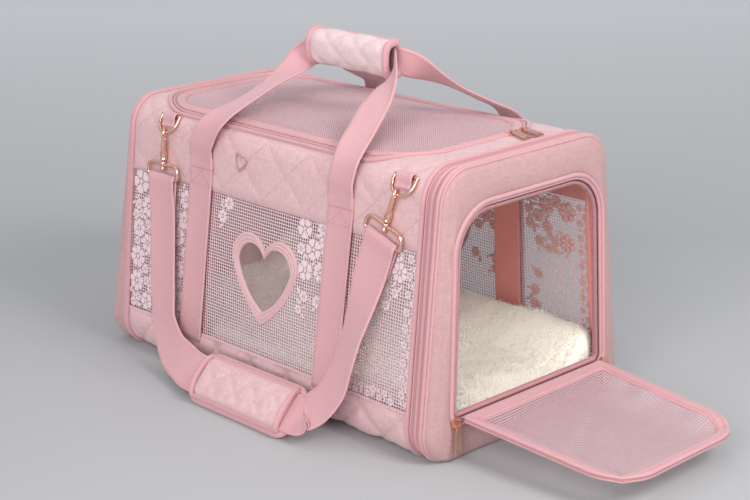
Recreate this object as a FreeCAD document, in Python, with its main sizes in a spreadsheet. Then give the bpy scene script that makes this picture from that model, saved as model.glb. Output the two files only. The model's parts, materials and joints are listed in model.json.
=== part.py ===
"""Soft-sided pet carrier bag.

Frame: origin at the centre of the base, on the surface that the bag stands on.  +X points to the end
with the drop-down door, +Y to the far long side, +Z up.  Millimetres and degrees.
"""
import FreeCAD, Part
import math
import os
import Sketcher
from FreeCAD import Placement, Rotation, Vector

doc = FreeCAD.newDocument("PetCarrier")
sheet = doc.addObject("Spreadsheet::Sheet", "Dim")

SIZES = {
    # the body: a box that narrows towards the top
    "body_length": 460, "body_width": 260, "top_width": 208, "body_height": 256,
    "door_recess": 4, "back_recess": 22, "wall": 4, "corner_round": 30,
    # where the long sides are divided
    "window_bottom": 44, "window_top": 186, "mesh_thickness": 1.5, "seam_gap": 0.4,
    "back_cap_start": -198, "band_start": 203, "band_end": 217, "panel_edge": 96,
    "top_edge": 72, "piping_width": 4, "piping_height": 2,
    # the door, its opening and the closed outline
    "door_sill": 36, "door_opening_height": 188, "door_half_bottom": 102, "door_half_top": 94,
    "door_corner": 42, "door_tape": 8, "flap_length": 170, "flap_half_hinge": 94,
    "flap_half_end": 86, "flap_rim": 9, "flap_thickness": 3, "flap_droop": 4,
    "hinge_height": 40, "hinge_stand_off": 2.8,
    # the top opening and its flap
    "top_front": 171, "top_back": -186, "top_near": -96, "top_far": 92, "top_corner": 54,
    "top_tape": 6, "top_rim": 10, "top_flap_low": 250.5, "top_flap_thickness": 4,
    # floor board and bed
    "board_length": 396, "board_width": 204, "board_thickness": 3, "board_low": 5,
    "bed_length": 426, "bed_width": 206, "bed_thickness": 33, "bed_low": 8.3, "bed_round": 12,
    "roll_rise": 26, "roll_width": 62, "roll_crown": 14,
    # webbing and handles
    "webbing_width": 32, "webbing_thickness": 2.5, "strip_top": 206, "strip_bottom": 38,
    "handle_pivot_height": 214, "handle_pivot_offset": 110.5, "grip_height": 24,
    "wrap_length": 108, "wrap_height": 35, "wrap_near": 17, "wrap_far": 5, "wrap_round": 8,
    # heart window trim
    "heart_width": 92, "heart_height": 84, "heart_band": 9, "heart_centre_x": 6,
    "heart_low": 74,
    # rings, hooks and the shoulder strap
    "ring_wire": 1.5, "ring_radius": 13, "ring_side": 5, "ring_bore": 1.57, "tube_radius": 3.7,
    "tube_length": 20, "ring_rest_angle": 33, "strap_width": 40, "strap_thickness": 2.5,
    "hook_wire": 1.3, "hook_radius": 4.2, "boss_radius": 3.4, "bracket_width": 45,
    "bracket_drop": 13, "bracket_wire": 1.6, "pad_length": 142, "pad_width": 52,
    "pad_thickness": 12, "pad_tilt": 48,
    # zipper sliders and pulls
    "slider_length": 10, "slider_width": 8, "slider_height": 3, "pull_length": 24,
    "pull_width": 7.5, "pull_thickness": 1.2, "pin_radius": 0.7, "pin_clearance": 0.06,
    "pin_height": 4.6,
}

for row, (alias, value) in enumerate(SIZES.items(), start=1):
    sheet.set(f"A{row}", alias)
    sheet.set(f"B{row}", str(value))
    sheet.setAlias(f"B{row}", alias)
doc.recompute()


def size(alias):
    """The value of a driving dimension, read from the sheet."""
    return float(sheet.get(alias))


PIECES = []
X_AXIS = Vector(1, 0, 0)
Y_AXIS = Vector(0, 1, 0)
Z_AXIS = Vector(0, 0, 1)
SIDES = (("near", -1), ("far", 1))

HALF_LENGTH = size("body_length") / 2
HALF_WIDTH = size("body_width") / 2
HEIGHT = size("body_height")
SIDE_SLOPE = (size("body_width") - size("top_width")) / 2 / HEIGHT
SIDE_TILT = math.degrees(math.atan(SIDE_SLOPE))
DOOR_TILT = math.degrees(math.atan(size("door_recess") / HEIGHT))


def keep(obj, label):
    """Name an object of the document as one of the bag's pieces."""
    obj.Label = label
    PIECES.append(obj)
    return obj


def feature(label, shape, placement=None):
    """A piece whose free-form shape is worked out here from the sheet's sizes."""
    obj = doc.addObject("Part::Feature", "Piece_" + label)
    obj.Shape = shape
    if placement is not None:
        obj.Placement = placement.multiply(shape.Placement)
    return keep(obj, label)


def bound(kind, name, **expressions):
    """A parametric primitive whose properties are bound to expressions."""
    obj = doc.addObject(kind, name)
    for prop, text in expressions.items():
        obj.setExpression(prop.replace("__", "."), text)
    return obj


def boolean(kind, name, base, tool):
    obj = doc.addObject(kind, name)
    obj.Base = base
    obj.Tool = tool
    return obj


def side_y(height):
    """Half-width of the bag's sloping side at a height."""
    return HALF_WIDTH - SIDE_SLOPE * height


# ---------------------------------------------------------------- body shell

def form(name, inset):
    """The closed outer form of the bag, or a smaller one inside it, with rounded long edges."""
    wedge = bound(
        "Part::Wedge", name + "_wedge",
        Xmin=f"-Dim.body_length/2 + {inset}", Xmax=f"Dim.body_length/2 - {inset}",
        X2min=f"-Dim.body_length/2 + Dim.back_recess + {inset}",
        X2max=f"Dim.body_length/2 - Dim.door_recess - {inset}",
        Ymin=f"{inset}", Ymax=f"Dim.body_height - {inset}",
        Zmin=f"-Dim.body_width/2 + {inset}", Zmax=f"Dim.body_width/2 - {inset}",
        Z2min=f"-Dim.top_width/2 + {inset}", Z2max=f"Dim.top_width/2 - {inset}")
    wedge.Placement = Placement(Vector(), Rotation(X_AXIS, 90))
    doc.recompute()
    fillet = doc.addObject("Part::Fillet", name)
    fillet.Base = wedge
    edges = []
    radius = size("corner_round") - (size("wall") if inset != "0" else 0)
    for number, edge in enumerate(wedge.Shape.Edges, start=1):
        ends = [vertex.Point for vertex in edge.Vertexes]
        along = ends[1] - ends[0]
        if abs(along.y) < 1e-6 and abs(along.z) < 1e-6:
            edges.append((number, radius, radius))
    fillet.Edges = edges
    doc.recompute()
    return fillet


def block(name, x, y, z):
    """A box between pairs of expressions, used to take a region of the shell."""
    return bound(
        "Part::Box", name,
        Length=f"({x[1]}) - ({x[0]})", Width=f"({y[1]}) - ({y[0]})", Height=f"({z[1]}) - ({z[0]})",
        Placement__Base__x=x[0], Placement__Base__y=y[0], Placement__Base__z=z[0])


outer_form = form("outer_form", "0")
inner_form = form("inner_form", "Dim.wall")
shell = boolean("Part::Cut", "shell", outer_form, inner_form)


def rounded_slab(x0, x1, y0, y1, z0, z1, radius):
    """An upright prism over a rectangle with rounded corners."""
    slab = Part.makeBox(x1 - x0, y1 - y0, z1 - z0, Vector(x0, y0, z0))
    upright = [edge for edge in slab.Edges if abs(edge.Vertexes[0].Z - edge.Vertexes[1].Z) > 0.1]
    return slab.makeFillet(radius, upright)


def top_outline(inset, z0, z1):
    """The outline of the top opening, drawn in by an inset, as a slab between two heights."""
    return rounded_slab(
        size("top_back") + inset, size("top_front") - inset, size("top_near") + inset,
        size("top_far") - inset, z0, z1, size("top_corner") - inset)


top_cutter = doc.addObject("Part::Feature", "top_cutter")
top_cutter.Shape = top_outline(0, HEIGHT - 40, HEIGHT + 10)


def arch(half_bottom, half_top, height, radius, x0, x1):
    """A prism along X over an outline with a straight foot and two rounded upper corners."""
    corners = [(-half_bottom, 0), (half_bottom, 0), (half_top, height), (-half_top, height)]
    points = [Vector(x0, y, z) for y, z in corners]
    face = Part.Face(Part.makePolygon(points + points[:1]))
    prism = face.extrude(Vector(x1 - x0, 0, 0))
    rounded = []
    for edge in prism.Edges:
        ends = [vertex.Point for vertex in edge.Vertexes]
        along_x = abs(ends[0].x - ends[1].x) > 0.1
        if along_x and ends[0].z > height - 0.1:
            rounded.append(edge)
    return prism.makeFillet(radius, rounded)


def door_outline(inset, x0, x1):
    """The outline of the door opening, drawn in by an inset, from x0 to x1 off the end wall."""
    shape = arch(
        size("door_half_bottom") - inset, size("door_half_top") - inset,
        size("door_opening_height") - 2 * inset, size("door_corner") - inset, x0, x1)
    shape.translate(Vector(0, 0, size("door_sill") + inset))
    return shape


DOOR_PLANE = Placement(Vector(HALF_LENGTH, 0, 0), Rotation(Y_AXIS, -DOOR_TILT))
door_cutter = doc.addObject("Part::Feature", "door_cutter")
door_cutter.Shape = door_outline(0, -12, 12)
door_cutter.Placement = DOOR_PLANE.multiply(door_cutter.Shape.Placement)


def region(label, x, y, z, cutter=None):
    """A sewn panel: the part of the shell inside a box, less an opening."""
    tool = block(label + "_region", x, y, z)
    panel = boolean("Part::Common", label + "_panel", shell, tool)
    if cutter is not None:
        panel = boolean("Part::Cut", label + "_cut", panel, cutter)
    return keep(panel, label)


LONG = ("Dim.back_cap_start", "Dim.band_start")
ACROSS = ("-Dim.body_width", "Dim.body_width")
UP = ("-10", "Dim.body_height + 10")
region("back_end_panel", ("-Dim.body_length", LONG[0]), ACROSS, UP)
region("door_end_band", (LONG[1], "Dim.band_end"), ACROSS, UP)
region("door_end_panel", ("Dim.band_end", "Dim.body_length"), ACROSS, UP, door_cutter)
region("bottom_panel", LONG, ("-Dim.panel_edge", "Dim.panel_edge"), ("-1", "Dim.wall + 1"))
for side, sign in SIDES:
    low_y = ("-Dim.body_width", "-Dim.panel_edge") if sign < 0 else ("Dim.panel_edge", "Dim.body_width")
    top_y = ("-Dim.body_width", "-Dim.top_edge") if sign < 0 else ("Dim.top_edge", "Dim.body_width")
    region(f"{side}_lower_band", LONG, low_y, ("-1", "Dim.window_bottom"))
    region(f"{side}_upper_band", LONG, top_y, ("Dim.window_top", "Dim.body_height + 1"), top_cutter)
TOP_LAYER = ("Dim.body_height - Dim.wall - 1", "Dim.body_height + 1")
MIDDLE = ("-Dim.top_edge", "Dim.top_edge")
region("top_panel_front", ("0", LONG[1]), MIDDLE, TOP_LAYER, top_cutter)
region("top_panel_back", (LONG[0], "0"), MIDDLE, TOP_LAYER, top_cutter)


def side_window(label, sign):
    """A mesh window, a thin plate that lies in the sloping side between the two bands."""
    slope = "(Dim.body_width - Dim.top_width)/2/Dim.body_height"
    rise = "(Dim.window_top - Dim.window_bottom - 2*Dim.seam_gap)"
    plate = bound(
        "Part::Box", label + "_box", Length="Dim.band_start - Dim.back_cap_start - 2*Dim.seam_gap",
        Width="Dim.mesh_thickness", Height=f"{rise}*sqrt(1 + ({slope})^2)")
    foot = size("window_bottom") + size("seam_gap")
    depth = 1 if sign < 0 else 1 + size("mesh_thickness")
    start_x = size("back_cap_start") + size("seam_gap")
    plate.Placement = Placement(
        Vector(start_x, sign * (side_y(foot) - depth), foot), Rotation(X_AXIS, sign * SIDE_TILT))
    return keep(plate, label)


for side, sign in SIDES:
    side_window(f"{side}_mesh_window", sign)


# ---------------------------------------------------------------- piping and hoops around the ends

def end_profile(grow, x0, x1):
    """A prism along X over the bag's end outline, grown outwards by a distance."""
    z0, z1 = -grow, HEIGHT + grow
    corners = [(-side_y(0) - grow, z0), (side_y(0) + grow, z0),
               (side_y(HEIGHT) + grow, z1), (-side_y(HEIGHT) - grow, z1)]
    points = [Vector(x0, y, z) for y, z in corners]
    prism = Part.Face(Part.makePolygon(points + points[:1])).extrude(Vector(x1 - x0, 0, 0))
    along_x = [e for e in prism.Edges if abs(e.Vertexes[0].X - e.Vertexes[1].X) > 0.1]
    return prism.makeFillet(size("corner_round") + grow, along_x)


def hoop(label, x0, x1, inner, outer):
    """A closed hoop round the bag between two offsets of its end outline."""
    ring = end_profile(outer, x0, x1).cut(end_profile(inner, x0 - 1, x1 + 1))
    floor_cut = Part.makeBox(x1 - x0 + 2, 2 * HALF_WIDTH + 20, 20, Vector(x0 - 1, -HALF_WIDTH - 10, -20))
    return feature(label, ring.cut(floor_cut))


PIPE = size("piping_width")
hoop("door_end_piping_inner", size("band_start") - PIPE, size("band_start"), 0.1, size("piping_height"))
hoop("door_end_piping_outer", size("band_end"), size("band_end") + PIPE, 0.1, size("piping_height"))
hoop("back_end_piping", size("back_cap_start") - PIPE, size("back_cap_start"), 0.1, size("piping_height"))
hoop("door_end_wire_hoop", size("band_start") + 2, size("band_start") + 5, -7, -4.3)
hoop("back_end_wire_hoop", size("back_cap_start") - 5, size("back_cap_start") - 2, -7, -4.3)
hoop("door_end_zipper", size("band_start") + 4, size("band_end") - 4, 0.1, 1.2)

opening_trim = door_outline(-size("piping_width"), 0.1, 2.2).cut(door_outline(0, -1, 4))
feature("door_opening_piping", opening_trim, DOOR_PLANE)
opening_tape = door_outline(0.1, -3, -1.5).cut(door_outline(size("door_tape"), -4, 0))
feature("door_zipper_tape", opening_tape, DOOR_PLANE)
tape_low = size("top_flap_low") - 2
feature("top_zipper_tape", top_outline(0.3, tape_low, tape_low + 1.5).cut(
    top_outline(size("top_tape") + 2, tape_low - 1, tape_low + 3)))


# ---------------------------------------------------------------- heart trim on the side windows

def heart_face(width, height):
    """A heart in the XZ plane with its tip at the origin: two arcs meeting straight flanks."""
    half = width / 2
    lobe = half / 2
    shoulder = height - lobe
    dip = Vector(0, 0, height - lobe * 0.55)
    tip = Vector(0, 0, 0)
    edges = []
    for sign in (1, -1):
        outer = Vector(sign * half, 0, shoulder)
        crown = Vector(sign * lobe * 1.05, 0, height)
        flank = Vector(sign * half * 0.72, 0, shoulder * 0.5)
        edges.append(Part.Arc(tip, flank, outer).toShape())
        edges.append(Part.Arc(outer, crown, dip).toShape())
    return Part.Face(Part.Wire(Part.__sortEdges__(edges)))


def heart_trim(label, sign):
    """The stitched band round the heart-shaped window, lying on the mesh."""
    width, height, band = size("heart_width"), size("heart_height"), size("heart_band")
    solid = heart_face(width, height).extrude(Vector(0, -sign * -1.8, 0))
    inner = heart_face(width - 2 * band, height - 2.4 * band)
    hole = inner.extrude(Vector(0, sign * 6, 0))
    hole.translate(Vector(0, -sign * 2, 1.35 * band))
    low = size("heart_low")
    place = Placement(
        Vector(size("heart_centre_x"), sign * (side_y(low) - 0.8), low), Rotation(X_AXIS, sign * SIDE_TILT))
    feature(label, solid.cut(hole), place)


for side, sign in SIDES:
    heart_trim(f"{side}_heart_trim", sign)


# ---------------------------------------------------------------- webbing

def ribbon(frames, width, thickness):
    """A flat strap as a closed solid: frames are pairs of a centre point and a width direction."""
    rings = []
    count = len(frames)
    for index, (point, across) in enumerate(frames):
        ahead = frames[min(index + 1, count - 1)][0] - frames[max(index - 1, 0)][0]
        ahead.normalize()
        across = across - ahead * across.dot(ahead)
        across.normalize()
        normal = ahead.cross(across)
        half = across * (width[index] / 2)
        skin = normal * (thickness / 2)
        rings.append([point - half - skin, point + half - skin, point + half + skin, point - half + skin])
    faces = []

    def triangle(a, b, c):
        faces.append(Part.Face(Part.makePolygon([a, b, c, a])))

    for here, there in zip(rings, rings[1:]):
        for corner in range(4):
            following = (corner + 1) % 4
            triangle(here[corner], here[following], there[following])
            triangle(here[corner], there[following], there[corner])
    for ring in (rings[0], rings[-1]):
        triangle(ring[0], ring[1], ring[2])
        triangle(ring[0], ring[2], ring[3])
    solid = Part.Solid(Part.Shell(faces))
    if solid.Volume < 0:
        solid.reverse()
    return solid


REAR_LEG_X = -88
FRONT_LEG_X = 105
STRIP_SHIFT = 8          # the sewn strips lean back this much towards the base


def sewn_strip(label, sign, leg_x):
    """The webbing that is sewn flat to the side, from the lower band up to the stitched box."""
    stand_off = 0.2 + size("webbing_thickness") / 2
    frames = []
    for height, shift in ((size("strip_bottom"), STRIP_SHIFT), (size("strip_top"), 0)):
        centre = Vector(leg_x - shift, sign * (side_y(height) + stand_off), height)
        frames.append((centre, Vector(1, 0, 0)))
    widths = [size("webbing_width")] * 2
    feature(label, ribbon(frames, widths, size("webbing_thickness")))


for side, sign in SIDES:
    sewn_strip(f"{side}_rear_webbing", sign, REAR_LEG_X)
    sewn_strip(f"{side}_front_webbing", sign, FRONT_LEG_X)


# Centre line of a carry handle on the near side, from the rear stitching over the grip to the front
# stitching, with the direction of the webbing's width and the width itself.
HANDLE_ROUTE = [
    ((-88, -110.6, 218), (1, 0, 0), 32),
    ((-85, -112.2, 232), (1, 0, 0), 32),
    ((-76, -109, 248), (1, -0.05, 0), 32),
    ((-66, -99, 261), (1, -0.2, 0), 32),
    ((-58, -79, 272), (1, -0.35, 0.05), 31),
    ((-52, -52, 285), (1, -0.3, 0.05), 30),
    ((-48, -30, 297), (1, 0, -0.3), 28),
    ((-44, -12, 309), (0.6, 0.5, -0.8), 26),
    ((-32, -2.2, 315), (0.1, 0.02, -1), 24),
    ((-10, -2.2, 316.5), (0, 0.0, -1), 24),
    ((38, -2.2, 316.5), (0, 0.0, -1), 24),
    ((60, -2.2, 315), (-0.1, 0.02, -1), 24),
    ((71, -12, 309), (-0.6, 0.4, -0.8), 26),
    ((79, -30, 298), (-1, 0.1, -0.3), 28),
    ((88, -51, 286), (-1, -0.2, -0.05), 30),
    ((99, -78, 271), (-1, -0.25, -0.05), 31),
    ((107, -98, 260), (-1, -0.1, 0), 32),
    ((109, -109, 247), (-1, 0, 0), 32),
    ((107, -112.2, 232), (-1, 0, 0), 32),
    ((105, -110.6, 218), (-1, 0, 0), 32),
]
GRIP_CENTRE = Vector(14, 0, 316.5)


def handle(label, sign):
    frames = [(Vector(*point), Vector(*across)) for point, across, width in HANDLE_ROUTE]
    widths = [width for point, across, width in HANDLE_ROUTE]
    shape = ribbon(frames, widths, size("webbing_thickness"))
    if sign > 0:
        shape = shape.mirror(Vector(), Y_AXIS)
    feature(label, shape)


for side, sign in SIDES:
    handle(f"{side}_handle", sign)


LIP_GAP = 17             # the pad's folded lips stop this far from its ends


def grip_wrap():
    """The padded grip: a rounded pad folded round both handles, open on the far side."""
    length, height = size("wrap_length"), size("wrap_height")
    near, far = size("wrap_near"), size("wrap_far")
    corner = GRIP_CENTRE + Vector(-length / 2, -near, -height / 2)
    pad = Part.makeBox(length, near + far, height, corner)
    pad = pad.makeFillet(size("wrap_round"), [e for e in pad.Edges
                                             if abs(e.Vertexes[0].X - e.Vertexes[1].X) > 1
                                             and e.Vertexes[0].Y < 0])
    cavity_height = size("grip_height") + 2.4
    cavity = Part.makeBox(length + 2, far + 5.2, cavity_height,
                          GRIP_CENTRE + Vector(-length / 2 - 1, -4.2, -cavity_height / 2 - 0.6))
    pad = pad.cut(cavity)
    for end in (-1, 1):
        corner = GRIP_CENTRE + Vector(end * (length / 2 - 2) - LIP_GAP, -4.2, -30)
        pad = pad.cut(Part.makeBox(2 * LIP_GAP, 60, 60, corner))
    feature("grip_wrap", pad)


grip_wrap()


# ---------------------------------------------------------------- floor board and bed

def plate_body(label, length, width, thickness, low):
    """A flat board, padded from a sketched rectangle."""
    body = doc.addObject("PartDesign::Body", "Body_" + label)
    sketch = body.newObject("Sketcher::SketchObject", "Sketch_" + label)
    plane = [f for f in body.Origin.OriginFeatures if f.Role == "XY_Plane"][0]
    sketch.AttachmentSupport = [(plane, "")]
    sketch.MapMode = "FlatFace"
    half_x, half_y = size(length) / 2, size(width) / 2
    corners = [Vector(-half_x, -half_y, 0), Vector(half_x, -half_y, 0),
               Vector(half_x, half_y, 0), Vector(-half_x, half_y, 0)]
    for start, end in zip(corners, corners[1:] + corners[:1]):
        sketch.addGeometry(Part.LineSegment(start, end), False)
    for line in range(4):
        sketch.addConstraint(Sketcher.Constraint("Coincident", line, 2, (line + 1) % 4, 1))
    for line in (0, 2):
        sketch.addConstraint(Sketcher.Constraint("Horizontal", line))
    for line in (1, 3):
        sketch.addConstraint(Sketcher.Constraint("Vertical", line))
    sketch.addConstraint(Sketcher.Constraint("Symmetric", 0, 1, 2, 1, -1, 1))
    across = sketch.addConstraint(Sketcher.Constraint("DistanceX", 0, 1, 0, 2, 2 * half_x))
    deep = sketch.addConstraint(Sketcher.Constraint("DistanceY", 1, 1, 1, 2, 2 * half_y))
    sketch.setExpression(f"Constraints[{across}]", f"Dim.{length}")
    sketch.setExpression(f"Constraints[{deep}]", f"Dim.{width}")
    pad = body.newObject("PartDesign::Pad", "Pad_" + label)
    pad.Profile = sketch
    pad.setExpression("Length", f"Dim.{thickness}")
    body.Placement = Placement(Vector(0, 0, size(low)), Rotation())
    doc.recompute()
    return body, pad


board, board_pad = plate_body("base_board", "board_length", "board_width", "board_thickness", "board_low")
keep(board, "base_board")
bed, bed_pad = plate_body("plush_bed", "bed_length", "bed_width", "bed_thickness", "bed_low")
bed_round = bed.newObject("PartDesign::Fillet", "Round_plush_bed")
bed_round.Base = (bed_pad, [f"Edge{n}" for n in range(1, len(bed_pad.Shape.Edges) + 1)])
bed_round.setExpression("Radius", "Dim.bed_round")


def bed_roll():
    """The bed's far edge, which is too wide for the base and climbs the bag's wall."""
    half, top = size("bed_width") / 2, size("bed_thickness")
    low, high = top - size("bed_round"), top + size("roll_rise")
    sketch = bed.newObject("Sketcher::SketchObject", "Sketch_bed_roll")
    sketch.AttachmentSupport = [([f for f in bed.Origin.OriginFeatures if f.Role == "YZ_Plane"][0], "")]
    sketch.MapMode = "FlatFace"
    corners = [Vector(half - size("roll_width"), top - 1, 0), Vector(half, low, 0),
               Vector(half, high, 0), Vector(half - size("roll_crown"), high, 0)]
    for start, end in zip(corners, corners[1:] + corners[:1]):
        sketch.addGeometry(Part.LineSegment(start, end), False)
    for line in range(4):
        sketch.addConstraint(Sketcher.Constraint("Coincident", line, 2, (line + 1) % 4, 1))
    pad = bed.newObject("PartDesign::Pad", "Pad_bed_roll")
    pad.Profile = sketch
    pad.Midplane = True
    pad.setExpression("Length", "Dim.bed_length")
    doc.recompute()


bed_roll()
keep(bed, "plush_bed")


# ---------------------------------------------------------------- flaps

def door_flap_outline(inset, z0, z1):
    """The door flap's outline in its own plane: X from the hinge outwards."""
    length = size("flap_length") - 2 * inset
    prism = arch(size("flap_half_hinge") - inset, size("flap_half_end") - inset, length,
                 size("door_corner") - inset, z0, z1)
    prism.rotate(Vector(), Y_AXIS, 90)
    prism.mirror(Vector(), Z_AXIS)
    prism.translate(Vector(1.5 + inset, 0, 0))
    return prism


FLAP_PLACE = Placement(
    Vector(HALF_LENGTH + size("hinge_stand_off"), 0, size("hinge_height")),
    Rotation(Y_AXIS, size("flap_droop")))
half_flap = size("flap_thickness") / 2
flap_rim = door_flap_outline(0, -half_flap, half_flap).cut(
    door_flap_outline(size("flap_rim"), -4, 4))
feature("door_flap_rim", flap_rim, FLAP_PLACE)
feature("door_flap_mesh", door_flap_outline(size("flap_rim") + 0.1, -0.6, 0.6), FLAP_PLACE)

flap_low = size("top_flap_low")
flap_high = flap_low + size("top_flap_thickness")
flap_inset = size("top_tape") - 2
rim_outer = top_outline(flap_inset, flap_low, flap_high)
rim_inner = top_outline(flap_inset + size("top_rim"), flap_low - 1, flap_high + 1)
feature("top_flap_rim", rim_outer.cut(rim_inner))
feature("top_flap_mesh", top_outline(flap_inset + size("top_rim") + 0.1, flap_low + 1, flap_low + 2.5))


# ---------------------------------------------------------------- rings and their tabs

ROUND = size("corner_round")
ROUND_Z = HEIGHT - ROUND
ROUND_Y = side_y(ROUND_Z) - ROUND / math.cos(math.radians(SIDE_TILT))
TAB_ANGLE = 38
TAB_DISTANCE = ROUND + size("tube_radius") + 0.2
RING_Y = ROUND_Y + TAB_DISTANCE * math.cos(math.radians(TAB_ANGLE))
RING_Z = ROUND_Z + TAB_DISTANCE * math.sin(math.radians(TAB_ANGLE))
RINGS = {"near_rear": (-1, -142), "near_front": (-1, 178), "far_rear": (1, -142), "far_front": (1, 158)}


def cylinder(radius, start, end):
    axis = end - start
    return Part.makeCylinder(radius, axis.Length, start, axis)


def half_turn(wire, centre, start, axis):
    """Round wire bent through a half circle about an axis, starting from a point."""
    disc = Part.Face(Part.Wire(Part.makeCircle(wire, start, axis.cross(start - centre))))
    return disc.revolve(centre, axis, 180)


def ring_tab(label, sign, x):
    """The webbing tube that holds a ring's bar, with the tail by which it is sewn on."""
    half = size("tube_length") / 2
    outer = cylinder(size("tube_radius"), Vector(-half, 0, 0), Vector(half, 0, 0))
    bore = cylinder(size("ring_bore"), Vector(-half - 1, 0, 0), Vector(half + 1, 0, 0))
    tail = Part.makeBox(2 * half, 1.2, 9, Vector(-half, size("tube_radius") - 1.2, -9))
    shape = outer.fuse(tail).cut(bore)
    turn = 90 - TAB_ANGLE
    rotation = Rotation(X_AXIS, -turn) if sign < 0 else Rotation(Z_AXIS, 180) * Rotation(X_AXIS, -turn)
    feature(label, shape, Placement(Vector(x, sign * RING_Y, RING_Z), rotation))


def ring_place(sign, x):
    """A ring hangs from its bar, leaning outwards."""
    lean = size("ring_rest_angle")
    turn = Rotation(X_AXIS, -lean) if sign < 0 else Rotation(X_AXIS, lean)
    return Placement(Vector(x, sign * RING_Y, RING_Z), turn)


def d_ring(label, sign, x):
    """A D-shaped ring of round wire: straight bar, two short sides and a half circle."""
    wire, radius, drop = size("ring_wire"), size("ring_radius"), size("ring_side")
    bar = cylinder(wire, Vector(-radius, 0, 0), Vector(radius, 0, 0))
    shape = bar
    for end in (-1, 1):
        corner = Vector(end * radius, 0, 0)
        shape = shape.fuse(cylinder(wire, corner, corner + Vector(0, 0, -drop)))
        shape = shape.fuse(Part.makeSphere(wire, corner))
    bow = half_turn(wire, Vector(0, 0, -drop), Vector(radius, 0, -drop), Y_AXIS)
    feature(label, shape.fuse(bow).removeSplitter(), ring_place(sign, x))


for name, (sign, x) in RINGS.items():
    ring_tab(f"{name}_ring_tab", sign, x)
    d_ring(f"{name}_ring", sign, x)


# ---------------------------------------------------------------- snap hooks

HOOK_TURN = 40           # the hook's loop is turned this much from straight across the ring
GATE_ROOT = Vector(0, 3.3, -17.5)
LOOP_FOOT = -19
BOSS_FOOT = -27
BRACKET_TOP = -31


HOOK_LEAN = {"rear": 0, "front": 20}     # how far each hook has slid round its ring's bow, in degrees
SIDE_OUT = Vector(0, -math.cos(math.radians(SIDE_TILT)), math.sin(math.radians(SIDE_TILT)))


def hang_place(end):
    """The frame of a hook: its origin on the ring's wire, hanging along the bag's side."""
    ring = ring_place(-1, RINGS["near_" + end][1])
    upright = ring.Rotation.inverted().multiply(Rotation(X_AXIS, -SIDE_TILT))
    slide = Placement(Vector(0, 0, -size("ring_side")), Rotation(Y_AXIS, HOOK_LEAN[end]))
    return ring.multiply(slide).multiply(Placement(Vector(0, 0, -size("ring_radius")), upright))


def bracket_place(end):
    """The frame of a strap bracket: its hook's frame, turned on the swivel to lie along the side."""
    place = hang_place(end)
    across = place.Rotation.multVec(X_AXIS).dot(SIDE_OUT)
    through = place.Rotation.multVec(Y_AXIS).dot(SIDE_OUT)
    twist = -math.degrees(math.atan(across / through))
    return place.multiply(Placement(Vector(), Rotation(Z_AXIS, twist)))


def hook_body():
    """Open loop, boss, fork for the gate and swivel pin of a snap hook."""
    wire, radius = size("hook_wire"), size("hook_radius")
    crown = half_turn(wire, Vector(0, 0, -1), Vector(0, radius, -1), X_AXIS)
    leg = cylinder(wire, Vector(0, -radius, -1), Vector(0, -2.4, LOOP_FOOT - 1))
    boss = cylinder(size("boss_radius"), Vector(0, 0, LOOP_FOOT), Vector(0, 0, BOSS_FOOT))
    pin = cylinder(1.5, Vector(0, 0, BOSS_FOOT), Vector(0, 0, BRACKET_TOP - size("bracket_wire") - 2))
    head = Part.makeSphere(2.6, Vector(0, 0, BRACKET_TOP - size("bracket_wire") - 3))
    shape = crown.fuse([leg, boss, pin, head])
    for ear in (-1, 1):
        plate = Part.makeBox(0.9, 4.4, 5.5, Vector(ear * 1.9 - 0.45, 0.6, -21))
        shape = shape.fuse(plate)
    shape = shape.fuse(cylinder(size("pin_radius"), GATE_ROOT + Vector(-2.2, 0, 0), GATE_ROOT + Vector(2.2, 0, 0)))
    return shape


def hook_gate():
    """The sprung gate that closes the open side of the hook's loop."""
    eye = cylinder(1.5, GATE_ROOT + Vector(-1.3, 0, 0), GATE_ROOT + Vector(1.3, 0, 0))
    arm = cylinder(1.1, GATE_ROOT, Vector(0, size("hook_radius"), -3.6))
    bore_radius = size("pin_radius") + size("pin_clearance")
    bore = cylinder(bore_radius, GATE_ROOT + Vector(-3, 0, 0), GATE_ROOT + Vector(3, 0, 0))
    return eye.fuse(arm).cut(bore)


def swivel_bracket():
    """The wire frame that takes the strap, turning on the hook's swivel pin."""
    wire = size("bracket_wire")
    half = size("bracket_width") / 2
    low = BRACKET_TOP - size("bracket_drop")
    corners = [Vector(-half, 0, BRACKET_TOP), Vector(half, 0, BRACKET_TOP),
               Vector(half, 0, low), Vector(-half, 0, low)]
    shape = Part.makeSphere(wire, corners[0])
    for start, end in zip(corners, corners[1:] + corners[:1]):
        shape = shape.fuse([cylinder(wire, start, end), Part.makeSphere(wire, end)])
    collar = cylinder(3.0, Vector(0, 0, BRACKET_TOP + wire + 0.6), Vector(0, 0, BRACKET_TOP - wire - 0.2))
    shape = shape.fuse(collar)
    bore = cylinder(1.5 + size("pin_clearance"), Vector(0, 0, BRACKET_TOP + 6), Vector(0, 0, BRACKET_TOP - 6))
    socket = Part.makeSphere(2.9, Vector(0, 0, BRACKET_TOP - wire - 3))
    return shape.cut(bore).cut(socket)


for end in ("rear", "front"):
    turned = hang_place(end).multiply(Placement(Vector(), Rotation(Z_AXIS, HOOK_TURN)))
    feature(f"{end}_hook", hook_body(), turned)
    feature(f"{end}_hook_gate", hook_gate(), turned)
    feature(f"{end}_swivel_bracket", swivel_bracket(), bracket_place(end))


# ---------------------------------------------------------------- shoulder strap and pad

STRAP_TOP = BRACKET_TOP - 13 - 1.6 - 0.1
PAD_CENTRE = Vector(26, -161, 22.8)
PAD_ALONG = Vector(1, 0, 0)
tilt = math.radians(size("pad_tilt"))
PAD_ACROSS = Vector(0, math.cos(tilt), math.sin(tilt))


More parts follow.
